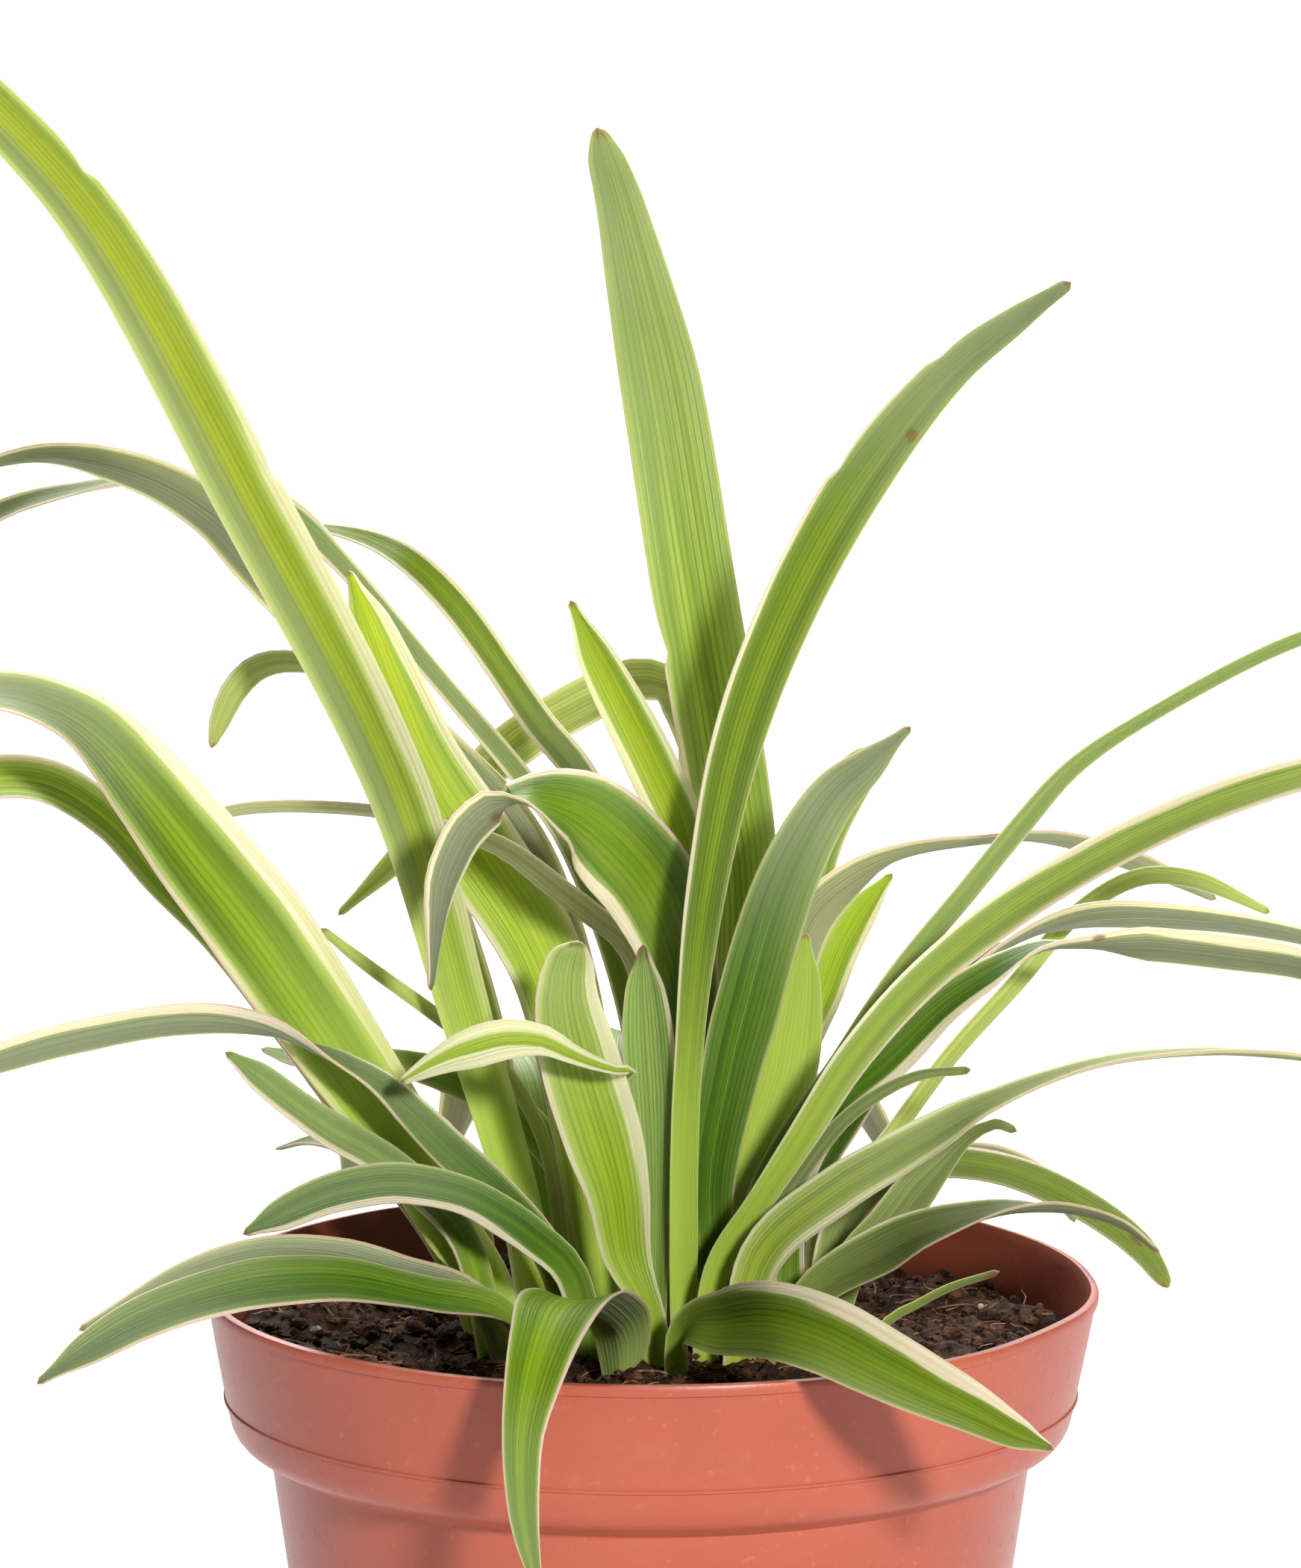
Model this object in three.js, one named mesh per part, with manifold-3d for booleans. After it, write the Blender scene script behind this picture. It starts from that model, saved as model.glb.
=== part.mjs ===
// A spider plant with striped strap leaves in a small plastic nursery pot.
// Millimetres, +Z up. The origin is the centre of the pot's foot, on the surface it stands on,
// and the plant's best side looks to -Y.
import * as THREE from "three";
import { mergeVertices } from "three/addons/utils/BufferGeometryUtils.js";
import Module from "manifold-3d";

const wasm = await Module();
wasm.setup();

// Driving dimensions of the pot
const POT_HEIGHT = 105;
const RIM_RADIUS = 60;
const FOOT_RADIUS = 40;
const WALL = 1.2;
const POT_SIDES = 40;
const FLOOR_UNDER = 2;
const FLOOR_TOP = 3.2;
const FOOT_RING_WIDTH = 4;
const DRAIN_HOLES = 8;
const DRAIN_RADIUS = 3.5;
const DRAIN_CIRCLE = 26;

// Driving dimensions of the soil and of what grows in it
const SOIL_TOP = 97;
const SOIL_RELIEF = 0.9;
const SOIL_RINGS = 5;
const SOIL_RIM_DROP = 2;
const GAP = 0.3;
const LEAF_FOOT = 91;
const HOLE_TOP = 101;
const CROWN_HEIGHT = 13;
const CROWN_TOP = 90.2;
const CROWN_SIDES = 14;

// Driving dimensions of a leaf blade
const BLADE = 0.75;
const FOOT_WIDTH = 4;
const FOOT_FOLD = 0.3;
const BLADE_FOLD = 0.13;
const STEP_LENGTH = 14;
const HOLE_CLEARANCE = 2;

// Directions that the upper face of a blade looks to
const FRONT = [0, -1, 0.25];
const FRONT_UP = [0, -0.7, 0.7];
const UP = [0, -0.2, 1];
const AWAY = [0, 0.9, 0.4];

// One entry for each leaf: where it stands in the soil [x, y], the directions that its upper face
// looks to on the way from its foot to its tip, and its route [x, y, z, width] as the plant grew.
const LEAVES = {
  leaf_tall_left: {
    foot: [-12, -1],
    faces: [[0.2, -1, 0.25], [-0.35, -1, 0.25]],
    route: [
      [-17.6, 0, 116.1, 5.5], [-25, 2, 141.9, 7], [-33.8, 5, 171.6, 8.6], [-53.1, 3, 210.9, 9.6],
      [-73, -6, 249, 8.2], [-84.9, -13, 264.3, 7.2], [-95.4, -20, 275.3, 5.5], [-105.1, -26, 282.5, 1.2],
    ],
  },
  leaf_tall_left_inner: {
    foot: [-5, 5],
    faces: [[0.35, -1, 0.3]],
    route: [
      [-8, 6.5, 110.6, 6], [-14.1, 10, 146.3, 11], [-24.6, 12.8, 163.6, 12], [-30.7, 14.6, 173.7, 10.5],
      [-34.3, 15.5, 182.4, 9], [-38, 16, 192.4, 6], [-40.7, 16.5, 199.6, 1.2],
    ],
  },
  leaf_tall_centre: {
    foot: [7, 10],
    faces: [[-0.3, -1, 0.25], [0.3, -1, 0.3]],
    route: [
      [10.4, 10, 130, 7], [12.2, 11, 156.2, 10], [10, 11.5, 173.4, 11.5], [5.7, 13, 198.6, 11.5],
      [1.4, 20, 224, 11], [-1.5, 26, 236.6, 9], [-4.5, 32, 248.4, 6.4],
      [-6, 34.8, 252.9, 5.2], [-7.2, 37, 257.2, 2.6],
    ],
  },
  leaf_tall_right: {
    foot: [4.8, -4.6],
    faces: [FRONT, [0.4, -1, 0.4]],
    route: [
      [4.4, -6, 110.1, 3.8], [4.9, -7, 135, 3.8], [7.4, -8, 160.6, 5.4], [12.9, -9, 185.3, 7.2],
      [24.3, -15, 211.5, 7.8], [37.9, -24, 231.2, 5.6], [46.6, -31, 239.3, 3.8],
      [54.1, -38, 245.6, 1.8],
    ],
  },
  leaf_centre_pointed: {
    foot: [3, 5],
    faces: [FRONT, FRONT, [-0.35, -1, 0.25]],
    route: [
      [4.4, 4, 111.1, 5], [5, 4, 133, 6], [5.4, 4, 152.2, 6.5], [4.1, 3, 166.2, 7], [1, 1, 173.9, 7],
      [-3.1, -3, 183.2, 6.5], [-7.3, -7, 192.1, 5], [-10.6, -10, 199.7, 1.2],
    ],
  },
  leaf_left_high_arch: {
    foot: [-4, 14],
    faces: [AWAY, AWAY, AWAY, AWAY, [0, 0.3, 1]],
    route: [
      [-8.1, 16, 134.5, 5], [-13.4, 21, 154, 5.5], [-19.4, 24, 164.6, 6], [-31.7, 29, 175.6, 7],
      [-43, 33, 186.8, 8], [-53.5, 36, 197.4, 8.4], [-59.7, 39, 203.4, 8], [-67.2, 42, 207.6, 7],
      [-76.1, 46, 210, 5.5], [-83.5, 50, 210.4, 4.2], [-89.9, 53, 209, 3.3], [-96.4, 56, 206, 1.2],
    ],
  },
  leaf_left_thin_arch: {
    foot: [-1, 12],
    faces: [FRONT, FRONT, FRONT_UP, [0, -0.2, 1], [0, -1, 0.8]],
    route: [
      [-2.1, 13, 135, 3], [-11, 19, 161.5, 3], [-16.7, 22, 169.3, 3], [-29.5, 26, 184, 2.8],
      [-42, 32, 198, 3], [-50.2, 38, 204.6, 4.5], [-58.6, 45, 207, 4.5], [-70.4, 53, 206.5, 4.5],
      [-79.9, 59, 204.1, 4.5], [-90.7, 65, 200.2, 4.5], [-102.5, 71, 191.9, 1.2],
    ],
  },
  leaf_left_inner_arch: {
    foot: [1, 16],
    faces: [FRONT, FRONT, [0.3, -0.9, 0.3], [0, -0.4, 1]],
    route: [
      [-1.7, 18, 134, 4], [-5.3, 22, 161.1, 4.2], [-9.7, 25, 170.5, 4.4], [-15.2, 27, 176.9, 4.4],
      [-20.4, 29, 184.2, 4.4], [-26.7, 31, 192.7, 4.4], [-32.6, 34, 198, 4], [-38.3, 39, 200.3, 3],
      [-44.6, 43, 201.2, 1.8], [-47.9, 45, 201.2, 1.2],
    ],
  },
  leaf_left_broad: {
    foot: [-16, -4.5],
    faces: [[0.3, -0.8, 0.4], [0.3, -0.8, 0.5], [0.2, -0.8, 0.6], [0.1, -0.4, 1]],
    route: [
      [-22.1, -6, 107.2, 6], [-26.1, -7, 112.6, 8], [-32.4, -8, 124.6, 10], [-40.9, -9, 137.9, 13],
      [-52.7, -11, 155.9, 15], [-59.4, -14, 165.3, 14.5], [-66.7, -19, 176, 13],
      [-72.9, -25, 184.3, 11], [-79, -31, 189.2, 9], [-85.4, -37, 191.7, 7.5], [-91.7, -43, 191.7, 5],
      [-98, -49, 187, 1.2],
    ],
  },
  leaf_left_dark: {
    foot: [-21, 3],
    faces: [[0.3, -0.8, 0.4], [0.2, -0.8, 0.6], [0, -0.8, 0.7]],
    route: [
      [-27.6, 2.5, 109.1, 5], [-36.8, 2.5, 122.9, 5.5], [-47.3, 2, 137.9, 5.6], [-57.7, 0, 152.3, 5.6],
      [-64.9, -3, 160.4, 5.8], [-71.9, -7, 169.5, 6.2], [-79.3, -11, 175.2, 6.8],
      [-86.3, -15, 176.7, 6.8], [-93.9, -19, 175.2, 5], [-100.5, -22, 172, 1.2],
    ],
  },
  leaf_bent_over: {
    foot: [6.8, 1.2],
    faces: [
      FRONT, FRONT, FRONT, FRONT, FRONT, [0.2, -0.9, 0.45], [0.1, -0.7, 0.8], [0, -0.1, 1],
      [-0.3, 0.8, 0.6], [-0.6, 0.8, 0.3], [-0.7, 0.7, 0.2], [-0.7, 0.7, 0.1],
      [-0.8, 0.6, 0.1], [-0.8, 0.6, 0.1],
    ],
    route: [
      [5.8, 2, 127, 6], [4, 2, 148.3, 10], [0.6, 0, 158.2, 12.8], [-4, -5, 165.2, 13.4],
      [-8.6, -8, 169.9, 12.8], [-13, -11, 172.6, 10.6], [-17.7, -13, 173.9, 8.4], [-20.9, -14, 172.3, 7.6],
      [-23.8, -14.5, 169.8, 7.6], [-25.7, -14.5, 166.6, 7.6], [-27.3, -14.5, 162.6, 6.4],
      [-28.2, -14, 157.5, 4.4], [-29.2, -13, 147.8, 1.2],
    ],
  },
  leaf_centre_dark: {
    foot: [11, -1.5],
    faces: [FRONT, [0.3, -1, 0.25], [0.45, -1, 0.3]],
    route: [
      [7.9, -3, 118.1, 6.5], [10.6, -3, 134.5, 8], [12.9, -3, 143.9, 9], [15.7, -4, 154.4, 9],
      [18.7, -7, 163.3, 8.5], [23.8, -12, 173.5, 7], [28.4, -17, 178.9, 5], [34.1, -23, 185, 1.2],
    ],
  },
  leaf_centre_glossy: {
    foot: [13.2, 3.2],
    faces: [[0.35, -1, 0.2]],
    route: [
      [12.6, 2.4, 114.6, 5.5], [14.9, 2, 124.1, 8], [18, 2, 133, 8.5], [19.1, 2, 139.4, 8],
      [20.1, 2, 146.3, 5.5], [20.9, 2, 152.7, 1.2],
    ],
  },
  leaf_right_grey_arch: {
    foot: [13, 9],
    faces: [AWAY, AWAY, [0, 0.4, 1], AWAY],
    route: [
      [16, 10, 130.5, 5], [19, 11, 143.9, 5.5], [22.2, 12, 152.7, 6], [26.6, 13, 157.2, 6.5],
      [32.8, 15, 160.6, 6], [43.8, 22, 161.5, 5.5], [55.2, 32, 160, 4.5], [66.6, 42, 154.9, 4],
      [78.5, 51, 148, 1.2],
    ],
  },
  leaf_right_thin_long: {
    foot: [10, -7],
    faces: [FRONT],
    route: [
      [14.2, -5.4, 118.6, 2.4], [25.6, -4.9, 137, 2.6], [33.2, -4.2, 148.4, 2.8], [41.9, -3.5, 158.9, 3],
      [49.5, 0, 167.6, 3], [56.5, 4, 174.7, 2.5], [67.4, 10, 181, 2], [88.1, 22, 189.4, 2],
      [100.5, 30, 190.6, 1.2],
    ],
  },
  leaf_right_main: {
    foot: [7, -10],
    faces: [FRONT, FRONT, [-0.1, -0.8, 0.6], [0, -0.6, 0.8]],
    route: [
      [8.9, -10, 109, 3.6], [14.4, -11.3, 118.4, 3.6], [20.6, -12, 128.3, 4.2], [26.4, -12, 137.6, 4.6],
      [35.2, -13, 148.2, 5], [46.6, -16.5, 158.5, 5.5], [59.7, -23, 168, 5.6], [72.2, -29, 175.2, 5.6],
      [84.6, -35, 180.5, 5.2], [95.4, -40, 184, 4], [105.1, -45, 185.8, 1.2],
    ],
  },
  leaf_right_grey: {
    foot: [16, -6],
    faces: [FRONT, UP, AWAY, AWAY],
    route: [
      [18.8, -5, 114.1, 4], [27.7, -3, 130, 4.8], [35.6, -1, 141.9, 5.6], [45.8, 1, 150.3, 6.4],
      [56.8, 5, 153.8, 6], [70.5, 10, 153.2, 4.2], [88.3, 18, 149.1, 2.8], [98.7, 25, 144.3, 2.2],
      [105.1, 30, 140, 1.2],
    ],
  },
  leaf_right_cream: {
    foot: [19, -10],
    faces: [
      FRONT, FRONT, FRONT, FRONT, FRONT_UP, [0, -0.5, 0.9], [0, 0, 1], [0, 0.5, 0.9],
      AWAY, AWAY, AWAY, AWAY, AWAY,
    ],
    route: [
      [19.3, -8, 118.6, 4], [24.2, -7.5, 130, 5], [31.6, -7.5, 136.9, 5.6], [38.5, -7, 143.8, 5.8],
      [45.4, -7, 148.7, 5.6], [52.3, -7.5, 152.6, 5.4], [59.2, -8, 153, 5.4], [66, -9, 153, 5.4],
      [76.2, -11, 152.3, 5.4], [86.4, -14, 151.3, 4.8], [92.7, -17, 149.2, 3.6],
      [96.6, -19, 146.8, 1.2],
    ],
  },
  leaf_right_long: {
    foot: [11, -14],
    faces: [FRONT, FRONT, UP, [0, 0.6, 0.8]],
    route: [
      [14.8, -15, 112.1, 6], [24.5, -17, 121.3, 6.5], [31.6, -19, 126.2, 6], [38.5, -22, 130.8, 5.5],
      [45.2, -26, 135.3, 5], [58.9, -34, 142.2, 4.4], [72.3, -42, 145.4, 4], [81.3, -47.5, 146.1, 3.4],
      [89.4, -52, 145.8, 1.2],
    ],
  },
  leaf_right_droop: {
    foot: [22, 0],
    faces: [FRONT_UP, FRONT_UP, [0.5, -0.7, 0.6]],
    route: [
      [25.8, -2, 113.6, 5], [31, -3, 119.6, 5], [36.1, -4, 122.1, 5], [46, -6, 122.1, 5],
      [55.5, -8, 118.8, 5], [64.8, -11, 112.8, 4.6], [69.1, -13, 107.3, 2.8],
    ],
  },
  leaf_right_low: {
    foot: [16, -16],
    faces: [FRONT, FRONT_UP, [0.2, 0.3, 0.9], [0.4, 0.5, 0.7]],
    route: [
      [21.2, -16, 106.7, 5], [31.6, -17, 113.6, 7], [36.6, -19, 116.5, 7], [46, -23, 120, 6],
      [52.3, -26, 121.1, 5.2], [57.8, -29, 121, 4], [62.4, -32, 119.9, 3], [66.8, -35, 117.1, 1.2],
    ],
  },
  leaf_front_right: {
    foot: [4, -22],
    faces: [[-0.6, -0.5, 0.6], FRONT, [0.15, -0.85, 0.5], [0.3, -0.8, 0.6]],
    route: [
      [4.3, -25, 103.9, 5], [9.7, -36, 107.9, 9], [15.8, -48, 110.9, 10.2], [22.8, -58, 111, 10.4],
      [29.2, -65, 109.2, 9.8], [35.1, -70, 107.2, 8.8], [41, -74, 105.2, 7], [46.8, -77, 102.7, 4.5],
      [51.3, -79, 101.2, 1.2],
    ],
  },
  leaf_front_hanging: {
    foot: [-4, -20],
    faces: [[0, 0.8, 0.6], [0, 0.3, 1], [0, -0.5, 0.8], [0.2, -1, 0.3], [0.3, -1, 0.1]],
    route: [
      [-3.9, -26, 103.9, 8], [-6.3, -36, 109.7, 10.5], [-9.4, -46, 113.7, 12], [-11.7, -54, 114.2, 11.5],
      [-13.4, -60, 111.7, 9.5], [-15.1, -66, 107.2, 7.5], [-16.4, -70, 101.2, 5.5],
      [-16.5, -72, 94.5, 4.5], [-16, -73, 89, 3.5], [-14, -72, 79, 1.2],
    ],
  },
  leaf_front_left: {
    foot: [-13.5, -17],
    faces: [[0.2, -0.3, 0.9], [0, -0.6, 0.8], [-0.2, -0.7, 0.7]],
    route: [
      [-19, -22, 105.4, 6.5], [-29.4, -27.5, 109.3, 7.5], [-39.9, -33.5, 112.7, 8.5],
      [-47.7, -38, 113.7, 8.5], [-55, -41, 113.2, 8], [-65.8, -46, 110.7, 7], [-73.2, -49, 107.2, 5],
      [-79.7, -51, 103.2, 1.2],
    ],
  },
  leaf_front_left_grey: {
    foot: [-17.5, -12.5],
    faces: [[0, 0.3, 1], AWAY, [-0.3, 0.9, 0.4]],
    route: [
      [-24, -17.5, 107.5, 4.5], [-33.7, -22.5, 112, 5], [-40.5, -26, 114.6, 5],
      [-50.4, -32, 116.6, 4.5], [-60.3, -37, 115.1, 3.5], [-74.7, -42, 108.2, 1.2],
    ],
  },
  leaf_left_over_rim: {
    foot: [-7, -13],
    faces: [FRONT, [0, -0.8, 0.6], [-0.2, -0.8, 0.5]],
    route: [
      [-10.6, -15, 109.6, 4.5], [-15.1, -17, 114.6, 5], [-20.1, -19, 118.6, 5.5],
      [-24.9, -21, 121.6, 5.5], [-32.7, -23, 123.6, 6], [-38, -25, 123.6, 6], [-43.5, -27, 122.6, 5.5],
      [-48.8, -29, 120.6, 4.5], [-53.6, -31, 118.6, 1.2],
    ],
  },
  leaf_left_low_long: {
    foot: [-10, -8],
    faces: [FRONT, [0, -0.8, 0.6], [0, -0.2, 1], AWAY, AWAY],
    route: [
      [-12.9, -11, 110.1, 4.5], [-20.3, -13, 120.1, 5], [-26.7, -14, 126.1, 5.5],
      [-31.3, -15, 131, 5.5], [-35.8, -16, 135.5, 5.5], [-40.9, -17, 138.9, 5.5],
      [-45.9, -17.5, 141.5, 5.2], [-51.2, -18.5, 143.9, 5], [-60.8, -21, 145.3, 5.2],
      [-75.6, -26, 143.9, 5.2], [-85.5, -30, 141.9, 4.6], [-94, -34, 139.3, 1.2],
    ],
  },
  leaf_left_low: {
    foot: [-20.5, -8],
    faces: [[0.3, -0.8, 0.5]],
    route: [
      [-25, -11.5, 113.4, 4.5], [-31.4, -13.5, 121.4, 5], [-36, -14, 125.2, 5],
      [-42.1, -14.5, 128.8, 5], [-47, -15, 132.4, 4.5], [-52, -15.5, 136.5, 4],
      [-56.4, -16, 140, 1.2],
    ],
  },
  leaf_curled: {
    foot: [3, -10],
    faces: [FRONT],
    route: [
      [-1.6, -12.4, 112.1, 2.5], [-3.6, -11.6, 124, 2.2], [-5, -11.2, 133.4, 1.6],
      [-2.4, -15, 137.2, 1.2], [-4.6, -18.6, 138.2, 1.4], [-7.9, -20.3, 139.6, 2],
      [-11, -21.5, 141.2, 2.8], [-14.1, -22.5, 142.9, 4], [-18.9, -23.5, 143.3, 5.4],
      [-22.8, -24, 142.4, 5.6], [-26.7, -24, 141, 4.2], [-30.7, -23.5, 138.8, 2.2],
      [-33.1, -23, 137.3, 1.2],
    ],
  },
  leaf_front_upright: {
    foot: [2, -16],
    faces: [FRONT, FRONT, FRONT, FRONT, FRONT_UP],
    route: [
      [-0.3, -16, 105.2, 4], [-3.1, -15, 112.1, 6.5], [-4.3, -15, 120.6, 8.5], [-6.1, -15, 127.5, 10.5],
      [-9.1, -15, 137.5, 10.8], [-11.1, -14, 147, 8.4], [-10.6, -12.5, 151.4, 6.4],
      [-9.4, -9.5, 153.6, 3],
    ],
  },
  leaf_centre_brown_tip: {
    foot: [0, -4],
    faces: [[-0.3, -1, 0.2]],
    route: [
      [0.6, -4.2, 118.1, 5], [0.4, -4.4, 130, 7], [-0.1, -4.5, 138.4, 7.3], [-0.6, -4.5, 146.3, 5.5],
      [-1, -4.5, 152.3, 1.5],
    ],
  },
  leaf_back_left_dark: {
    foot: [-9, 9],
    faces: [FRONT, [0, -0.5, 0.9]],
    route: [
      [-10.8, 12, 115.6, 4.5], [-18.1, 13, 125.5, 5], [-26.4, 14, 130, 5], [-33.6, 16, 131.8, 4.5],
      [-48.1, 22, 131.5, 3.5], [-53.2, 25, 132.1, 1.2],
    ],
  },
  leaf_back_arch_long: {
    foot: [9, 16],
    faces: [AWAY, AWAY, AWAY, [-0.2, 0.9, 0.3]],
    route: [
      [9, 20, 133.5, 4.5], [8.8, 25, 158.6, 5], [6.8, 28, 173.4, 6], [2.3, 31, 181.2, 6.5],
      [-1.8, 33, 181.7, 7], [-7.3, 35, 179.2, 7.3], [-17.4, 38, 172.8, 7.3], [-24.3, 40, 166.5, 6],
      [-35.9, 42, 154.2, 3.5], [-43.1, 43, 147.3, 1.2],
    ],
  },
  leaf_back_arch_short: {
    foot: [-7, 19],
    faces: [AWAY, AWAY, AWAY, [-0.4, 0.9, 0.4]],
    route: [
      [-12.8, 21, 133.5, 4], [-19.4, 22, 154.2, 4], [-27.5, 22, 170.4, 4], [-34.6, 22, 180.2, 4],
      [-41.7, 22, 185.1, 3.8], [-47.6, 22, 186.1, 3.4], [-51.2, 22, 186, 3.8], [-54, 22, 184.8, 4],
      [-56.6, 22, 181.8, 3.8], [-58.4, 22, 177.8, 3], [-59.6, 22, 174.3, 1.2],
    ],
  },
  leaf_thin_grey: {
    foot: [-1, 9],
    faces: [AWAY],
    route: [
      [0.8, 10, 130.5, 3], [-2.6, 11, 148.3, 3.5], [-8.1, 10, 153.7, 3.5], [-12.7, 7.6, 157.7, 3.5],
      [-20.3, 6.4, 163.6, 3], [-29.5, 7.4, 166.3, 2.5], [-38.9, 16, 166.8, 2.2], [-57.1, 30, 164.2, 2],
      [-65.6, 34, 160, 1.2],
    ],
  },
  leaf_thin_left: {
    foot: [-11, 3.4],
    faces: [FRONT],
    route: [
      [-12.7, 3.9, 116.1, 2], [-15.1, 4.7, 125.5, 2], [-20.1, 5.5, 133.5, 2], [-28, 6, 139.9, 2],
      [-38.9, 7, 147.8, 1.8], [-44.4, 7.5, 152.2, 1.2],
    ],
  },
  leaf_bright_behind: {
    foot: [17, 12],
    faces: [FRONT],
    route: [
      [19.1, 14, 130, 4.5], [23.7, 16, 141.9, 5], [26.2, 17, 148.3, 5], [29.2, 18, 153.2, 4],
      [32.8, 19, 157.6, 1.2],
    ],
  },
  leaf_bright_narrow: {
    foot: [21, 5],
    faces: [FRONT],
    route: [
      [26.1, 5, 115.1, 2.5], [33.2, 6, 125, 2.5], [40.6, 7, 135, 2.5], [49.5, 9, 144.6, 2.5],
      [57.5, 13, 153.1, 2.5], [65.7, 19, 156.9, 2.5], [73.9, 26, 155.5, 2.5], [84.9, 33, 149.6, 1.2],
    ],
  },
  leaf_thin_curled: {
    foot: [14.5, -11.5],
    faces: [FRONT],
    route: [
      [16.8, -11, 116.1, 2.5], [21.6, -11, 124.6, 2.2], [26.9, -12, 131, 2], [35, -13, 136, 1.5],
      [42.6, -13, 137, 1.2],
    ],
  },
  leaf_curled_tip: {
    foot: [23, -7],
    faces: [FRONT],
    route: [
      [26.3, -9, 108.6, 5], [31.8, -10, 115.1, 6], [35.9, -10, 120.6, 5.5], [39.2, -10, 124.1, 3.5],
      [42.1, -10, 127, 2], [45.9, -10, 129, 1.5], [48.9, -10, 128, 1.2],
    ],
  },
  leaf_young: {
    foot: [28, 3],
    faces: [FRONT],
    route: [[32, 1.5, 99.4, 1.3], [35.8, 0, 102, 1.2], [40.1, -2, 104.8, 1.1], [46.8, -5, 107.7, 0.9]],
  },
  leaf_back_left_low: {
    foot: [-21.5, 11.5],
    faces: [[0.2, -0.3, 1]],
    route: [
      [-26.1, 25, 112.1, 7], [-32, 41, 118.1, 8.5], [-37, 54, 116.6, 8], [-41, 65, 110.1, 6],
      [-43.5, 72, 103.1, 1.2],
    ],
  },
  leaf_back_left: {
    foot: [-12, 25],
    faces: [[0.1, -0.3, 1]],
    route: [
      [-15.1, 37, 118.1, 8], [-18.1, 49, 126, 9], [-23.1, 61, 124, 9], [-27.1, 72, 113.1, 6],
      [-29.2, 77, 102.1, 1.2],
    ],
  },
  leaf_back_centre: {
    foot: [-2, 22],
    faces: [[0, -0.3, 1]],
    route: [
      [-3.1, 37, 118.1, 8], [-3.1, 51, 128, 9], [-2.2, 64, 126, 8.5], [-2.2, 75, 115.1, 6],
      [-2.2, 79.6, 104.1, 1.2],
    ],
  },
  leaf_back_right: {
    foot: [11, 21],
    faces: [[-0.1, -0.3, 1]],
    route: [
      [14.8, 37, 116.1, 8], [19.8, 50, 123, 9], [25.8, 62, 120, 9], [31.8, 72, 111.1, 6],
      [34.8, 77, 101.1, 1.2],
    ],
  },
  leaf_back_right_low: {
    foot: [22, 15],
    faces: [[-0.2, -0.2, 1]],
    route: [
      [26.8, 28, 112.1, 7], [37.8, 41, 115.1, 8], [48.8, 55, 111.1, 7], [56.8, 65, 103.6, 4.5],
      [60, 70, 98, 1.2],
    ],
  },
  leaf_back_tall: {
    foot: [5, 26],
    faces: [[0.3, -1, 0.25], [0.2, -0.7, 0.7]],
    route: [
      [5.8, 34, 130, 8], [7.8, 42, 159.6, 9], [7.8, 48, 184.1, 9], [5.8, 56, 203.6, 8],
      [3.8, 66, 216.2, 5], [2.8, 74, 220.1, 1.2],
    ],
  },
  leaf_back_tall_left: {
    foot: [-15, 15],
    faces: [[-0.4, -1, 0.25], [0.1, -0.7, 0.7]],
    route: [
      [-21.1, 24, 128, 6], [-29.5, 32, 151.7, 8], [-37.3, 40, 171.4, 8], [-45.7, 50, 185.1, 6],
      [-49.6, 58, 189.9, 1.2],
    ],
  },
  leaf_back_tall_right: {
    foot: [16.5, 22],
    faces: [[0.4, -1, 0.25], [0.3, -0.7, 0.7]],
    route: [
      [17.8, 28, 126, 7], [19.7, 36, 145.8, 8], [23.2, 44, 159.6, 8], [29.6, 54, 166.4, 5],
      [32.6, 60, 168.4, 1.2],
    ],
  },
  leaf_back_side_left: {
    foot: [-21, 8],
    faces: [[0.2, -0.3, 1]],
    route: [[-28.1, 14, 112.1, 6], [-38.1, 20, 118.1, 6], [-46, 26, 119.1, 5], [-51.5, 30, 117.1, 1.2]],
  },
};

// The three rootstocks that the leaves grow from: [x, y, radius], and their fleshy roots
const CROWNS = {
  crown_left: [-14, 0, 9],
  crown_right: [13, -7, 9],
  crown_back: [3, 11, 8],
};
const ROOTS_PER_CROWN = 4;
const ROOT_REACH = 13.6;
const ROOT_DROP = 42;
const ROOT_RADIUS = 2.2;

const materials = {
  pot: { color: 0xc8614b, roughness: 0.42, metalness: 0 },
  soil: { color: 0x3a2a20, roughness: 0.95, metalness: 0 },
  leaf: { color: 0x6fa03c, roughness: 0.45, metalness: 0 },
  crown: { color: 0xd9cfae, roughness: 0.7, metalness: 0 },
};

// Closed mesh with merged vertices as a solid for joining and cutting
function solidOf(geometry) {
  const bare = geometry.clone();
  bare.deleteAttribute("normal");
  bare.deleteAttribute("uv");
  const merged = mergeVertices(bare, 1e-4);
  return new wasm.Manifold(
    new wasm.Mesh({
      numProp: 3,
      vertProperties: new Float32Array(merged.attributes.position.array),
      triVerts: new Uint32Array(merged.index.array),
    }),
  );
}

// Manifold solid as a geometry to show
function geometryOf(solid) {
  const mesh = solid.getMesh();
  const geometry = new THREE.BufferGeometry();
  geometry.setAttribute("position", new THREE.BufferAttribute(mesh.vertProperties, 3));
  geometry.setIndex(new THREE.BufferAttribute(mesh.triVerts, 1));
  geometry.computeVertexNormals();
  return geometry;
}

// Lathe about +Z of a profile of [radius, height]
function lathe(profile, sides) {
  const points = profile.map(([r, z]) => new THREE.Vector2(r, z));
  return new THREE.LatheGeometry(points, sides).rotateX(Math.PI / 2);
}

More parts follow.
